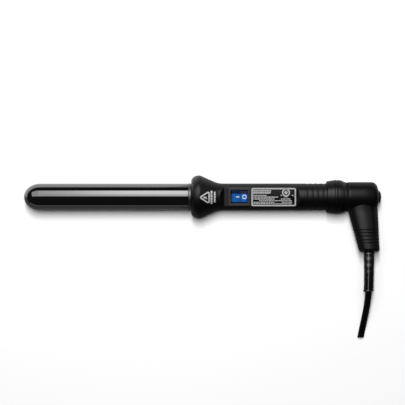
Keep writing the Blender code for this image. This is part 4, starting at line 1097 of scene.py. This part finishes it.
BEND_R = 9.3                        # cores turn from the wand axis into the leg
bend_s = cord_s(CORD_START) - BEND_R
centre_line = [Vector((x, 0, 0)) for x in np.linspace(281.6, bend_s, 12)]
for a in np.linspace(0, math.pi / 2, 16)[1:]:
    out = BEND_R * (1 - math.cos(a))
    centre_line.append(Vector((bend_s + BEND_R * math.sin(a), -out, out * RISE)))
centre_line += [Vector((cord_s(t), -t, cord_h(t)))
                for t in [12.0, 18.0, CORD_START, 40.0, *np.arange(BEND_T, 86.0, 3.0),
                          *np.linspace(SLEEVE_END, CORD_END - 0.35, 60)]]


def beside(path, i, up_offset, side_offset=0.0):
    """Point beside path[i], offset upwards and sideways."""
    tangent = tangent_at(path, i)
    up = square_to(Vector((0, 0, 1)), tangent)
    return path[i] + up * up_offset + tangent.cross(up) * side_offset


def strands(path):
    """Seven bare strands, one in the middle, showing at the end of a core."""
    bars = []
    for x, y in circle(0.0, 0.0, 0.32, 6) + [(0.0, 0.0)]:
        bar = [beside(path, i, x, y) for i in range(len(path) - 8, len(path))]
        bar.append(bar[-1] + (bar[-1] - bar[-2]).normalized() * 0.12)
        bars.append(sweep(bar, 0.15, 10))
    return join(*bars)


for name, sign, look in (("core_line", 1, "core_brown"), ("core_neutral", -1, "core_blue")):
    path = [beside(centre_line, i, sign * 0.98) for i in range(len(centre_line))]
    piece(name + "_insulation", sweep(path, 0.85, 20, inner=0.52), look, "cord_elbow", name, 40)
    piece(name + "_strands", strands(path), "copper", "cord_elbow", None, 40)

# ================================================================ inner parts kept from the frame
INNER_PARTS = (                     # material, node names
    ("extruded_aluminium", "heat_spreader_upper heat_spreader_lower"),
    ("ptc_ceramic", "ptc_chip_1 ptc_chip_2 ptc_chip_3"),
    ("rolled_brass", "electrode_strip_upper electrode_strip_lower"),
    ("bright_steel", "thermal_fuse"),
    ("phenolic", "barrel_socket"),
    ("mica_sheet", "mica_washer"),
    ("zinc_plate", "barrel_screw_1 barrel_screw_2"),
    ("rolled_brass", "switch_terminal_line switch_terminal_load"),
    ("bright_steel", "receptacle_line receptacle_load"),
    ("phenolic", "swivel_contact_carrier"),
    ("rolled_brass", "brush_line brush_neutral"),
    ("core_brown", "wire_line wire_load"),
    ("core_blue", "wire_neutral"),
    ("copper", "contact_blade"),
    ("natural_nylon", "swivel_spindle"),
    ("rolled_brass", "slip_ring_line slip_ring_neutral"),
    ("zinc_plate", "spindle_nut"),
    ("natural_nylon", "cord_clamp"))
for look, names in INNER_PARTS:
    material, slot = LOOKS[look]
    for name in names.split():
        ob = frame["nodes"][name]
        ob.data.materials.clear()
        ob.data.materials.append(material)

# ================================================================ table
scene = bpy.context.scene
TABLE = 4.0                         # half size, m
TABLE_TONE = 0.44
floor_mesh = bpy.data.meshes.new("floor")
floor_mesh.from_pydata([(-TABLE, -TABLE, 0), (TABLE, -TABLE, 0), (TABLE, TABLE, 0),
                        (-TABLE, TABLE, 0)], [], [(0, 1, 2, 3)])
floor = bpy.data.objects.new("floor", floor_mesh)
floor.location.z = cad_lo[2] - 0.00005
scene.collection.objects.link(floor)


def position(tree):
    return node(tree, "SeparateXYZ", {0: node(tree, "NewGeometry")["Position"]})


def floor_material():
    """Matt table of even colour; in reflections its colour is painted brighter towards +Y (painted
    light) and darker towards -Y and beside the handle (painted shade).
    """
    material = bpy.data.materials.new("floor_white")
    material.use_nodes = True
    tree = material.node_tree
    bsdf = tree.nodes["Principled BSDF"].inputs
    bsdf["Roughness"].default_value = 0.9
    bsdf["Specular IOR Level"].default_value = 0.0
    place = position(tree)
    # Painted light and shade in reflections: brighter towards +Y, darker towards -Y.
    painted_light_across = map_range(tree, place["Y"], source=(AXIS_Y - 0.012, AXIS_Y + 0.012),
                       target=(0.22, 1.25))
    # Painted shade in reflections beside the handle.
    along = map_range(tree, place["X"], source=(TIP_X + 0.150, TIP_X + 0.166), target=(1.0, 0.5))
    # Only glossy rays see the painted light and shade; the camera sees the plain colour.
    level = node(tree, "Mix", {"Factor": node(tree, "LightPath")["Is Glossy Ray"], "A": 1.0,
                               "B": math_node(tree, 'MULTIPLY', painted_light_across, along)},
                 data_type='FLOAT')["Result"]
    tone = node(tree, "VectorMath", {0: (TABLE_TONE,) * 3, "Scale": level}, operation='SCALE')
    tree.links.new(tone["Vector"], bsdf["Base Color"])
    return material


floor_mesh.materials.append(floor_material())

# ================================================================ lights
world = bpy.data.worlds.new("world")
scene.world = world
world.use_nodes = True
background = world.node_tree.nodes["Background"].inputs
background["Color"].default_value = (1, 1, 1, 1)
background["Strength"].default_value = 0.03


def area_light(name, width, height, radiance, location, rotation, receivers):
    light = bpy.data.lights.new(name, 'AREA')
    light.shape = 'RECTANGLE'
    light.size, light.size_y = width, height
    light.energy = radiance * width * height * math.pi
    ob = bpy.data.objects.new(name, light)
    scene.collection.objects.link(ob)
    ob.location = location
    ob.rotation_euler = rotation
    ob.light_linking.receiver_collection = receivers
    return ob


def softbox(name, tilt, azimuth, distance, width, height, radiance, receivers,
            target=(0.0, AXIS_Y, AXIS_Z)):
    """Light facing the target; tilt is from vertical and azimuth from +X, in degrees."""
    t, a = math.radians(tilt), math.radians(azimuth)
    direction = Vector((math.sin(t) * math.cos(a), math.sin(t) * math.sin(a),
                        math.cos(t))).normalized()
    return area_light(name, width, height, radiance, Vector(target) + direction * distance,
                      direction.to_track_quat('Z', 'Y').to_euler(), receivers)


def panel(name, height, slope, half, radiance, receivers):
    """Level panel overhead; slope and half size are sideways run per unit of height."""
    area_light(name, 2 * half[0] * height, 2 * half[1] * height, radiance,
               (slope[0] * height, AXIS_Y + slope[1] * height, height), (0, 0, 0), receivers)


def collect(name, *members):
    """Collection of the named objects, for light linking."""
    collection = bpy.data.collections.new(name)
    for ob in bpy.data.objects:
        if ob.name in members:
            collection.objects.link(ob)
    return collection


def hot_spot(light, base, side, core):
    """Uneven light face: brighter around x = 0, most of all towards +Y."""
    tree = light.data.node_tree
    place = position(tree)
    run = math_node(tree, 'ABSOLUTE', math_node(tree, 'DIVIDE', place["X"], 0.165))
    falloff = math_node(tree, 'ADD', math_node(tree, 'POWER', run, 5.0), 1.0)
    middle = math_node(tree, 'DIVIDE', 1.0, falloff)
    boost = map_range(tree, place["Y"], source=(0.20, 0.33), target=(side, side + core),
                      curve='SMOOTHSTEP')
    # Weaker past the cord end.
    end = map_range(tree, place["X"], source=(0.18, 0.23), target=(1.0, 0.30),
                    curve='SMOOTHSTEP')
    face = math_node(tree, 'MULTIPLY_ADD', middle, boost, base)
    tree.links.new(math_node(tree, 'MULTIPLY', face, end),
                   tree.nodes["Emission"].inputs["Strength"])


all_but_table = collect("all_but_table", floor.name)
key_light = softbox("key", tilt=29.8, azimuth=90, distance=0.55, width=1.56, height=0.510,
                    radiance=1.0, receivers=all_but_table)
key_light.data.use_nodes = True
hot_spot(key_light, base=1.8, side=1.1, core=2.0)
all_but_table.collection_objects[0].light_linking.link_state = 'EXCLUDE'

table_only = collect("table_only", floor.name)
panel("table", height=1.6, slope=(-0.034, 0.225), half=(0.05, 0.245), radiance=132.0,
      receivers=table_only)
panel("table_fill", height=1.6, slope=(-0.05, 0.25), half=(0.35, 0.28), radiance=6.4,
      receivers=table_only)
softbox("low_front", tilt=84.3, azimuth=-90, distance=2.0, width=5.0, height=0.40,
        radiance=0.42, receivers=collect("barrel_only", "barrel_tube", "trim_ring"))
collar_only = collect("collar_only", "collar_ring", "washer_ring")
for name, azimuth, radiance in (("ridge_front", 147, 0.9), ("ridge_rear", 33, 1.5)):
    softbox(name, tilt=52, azimuth=azimuth, distance=0.6, width=0.4, height=0.4,
            radiance=radiance, receivers=collar_only, target=(TIP_X + 0.292, AXIS_Y, AXIS_Z))
panel("sleeve_strip", height=0.6, slope=(-0.06, -0.35), half=(0.14, 0.42), radiance=2.0,
      receivers=collect("sleeve_only", "strain_sleeve"))
panel("leg_strip", height=0.6, slope=(-0.42, 0.05), half=(0.25, 0.18), radiance=1.5,
      receivers=collect("elbow_only", "elbow_shell"))

# ================================================================ camera
VIEW_WIDTH = 0.37665                # width seen at the height of the wand axis, m
scene.view_settings.view_transform = 'Standard'
camera = bpy.data.cameras.new("camera")
camera.lens = 120.0
camera.sensor_width = 36.0
camera.clip_start = 0.01
camera.clip_end = 20.0
camera_ob = bpy.data.objects.new("camera", camera)
scene.collection.objects.link(camera_ob)
camera_ob.location = (TIP_X + 0.166, AXIS_Y - 0.00519,
                      AXIS_Z + VIEW_WIDTH * camera.lens / camera.sensor_width)
scene.camera = camera_ob
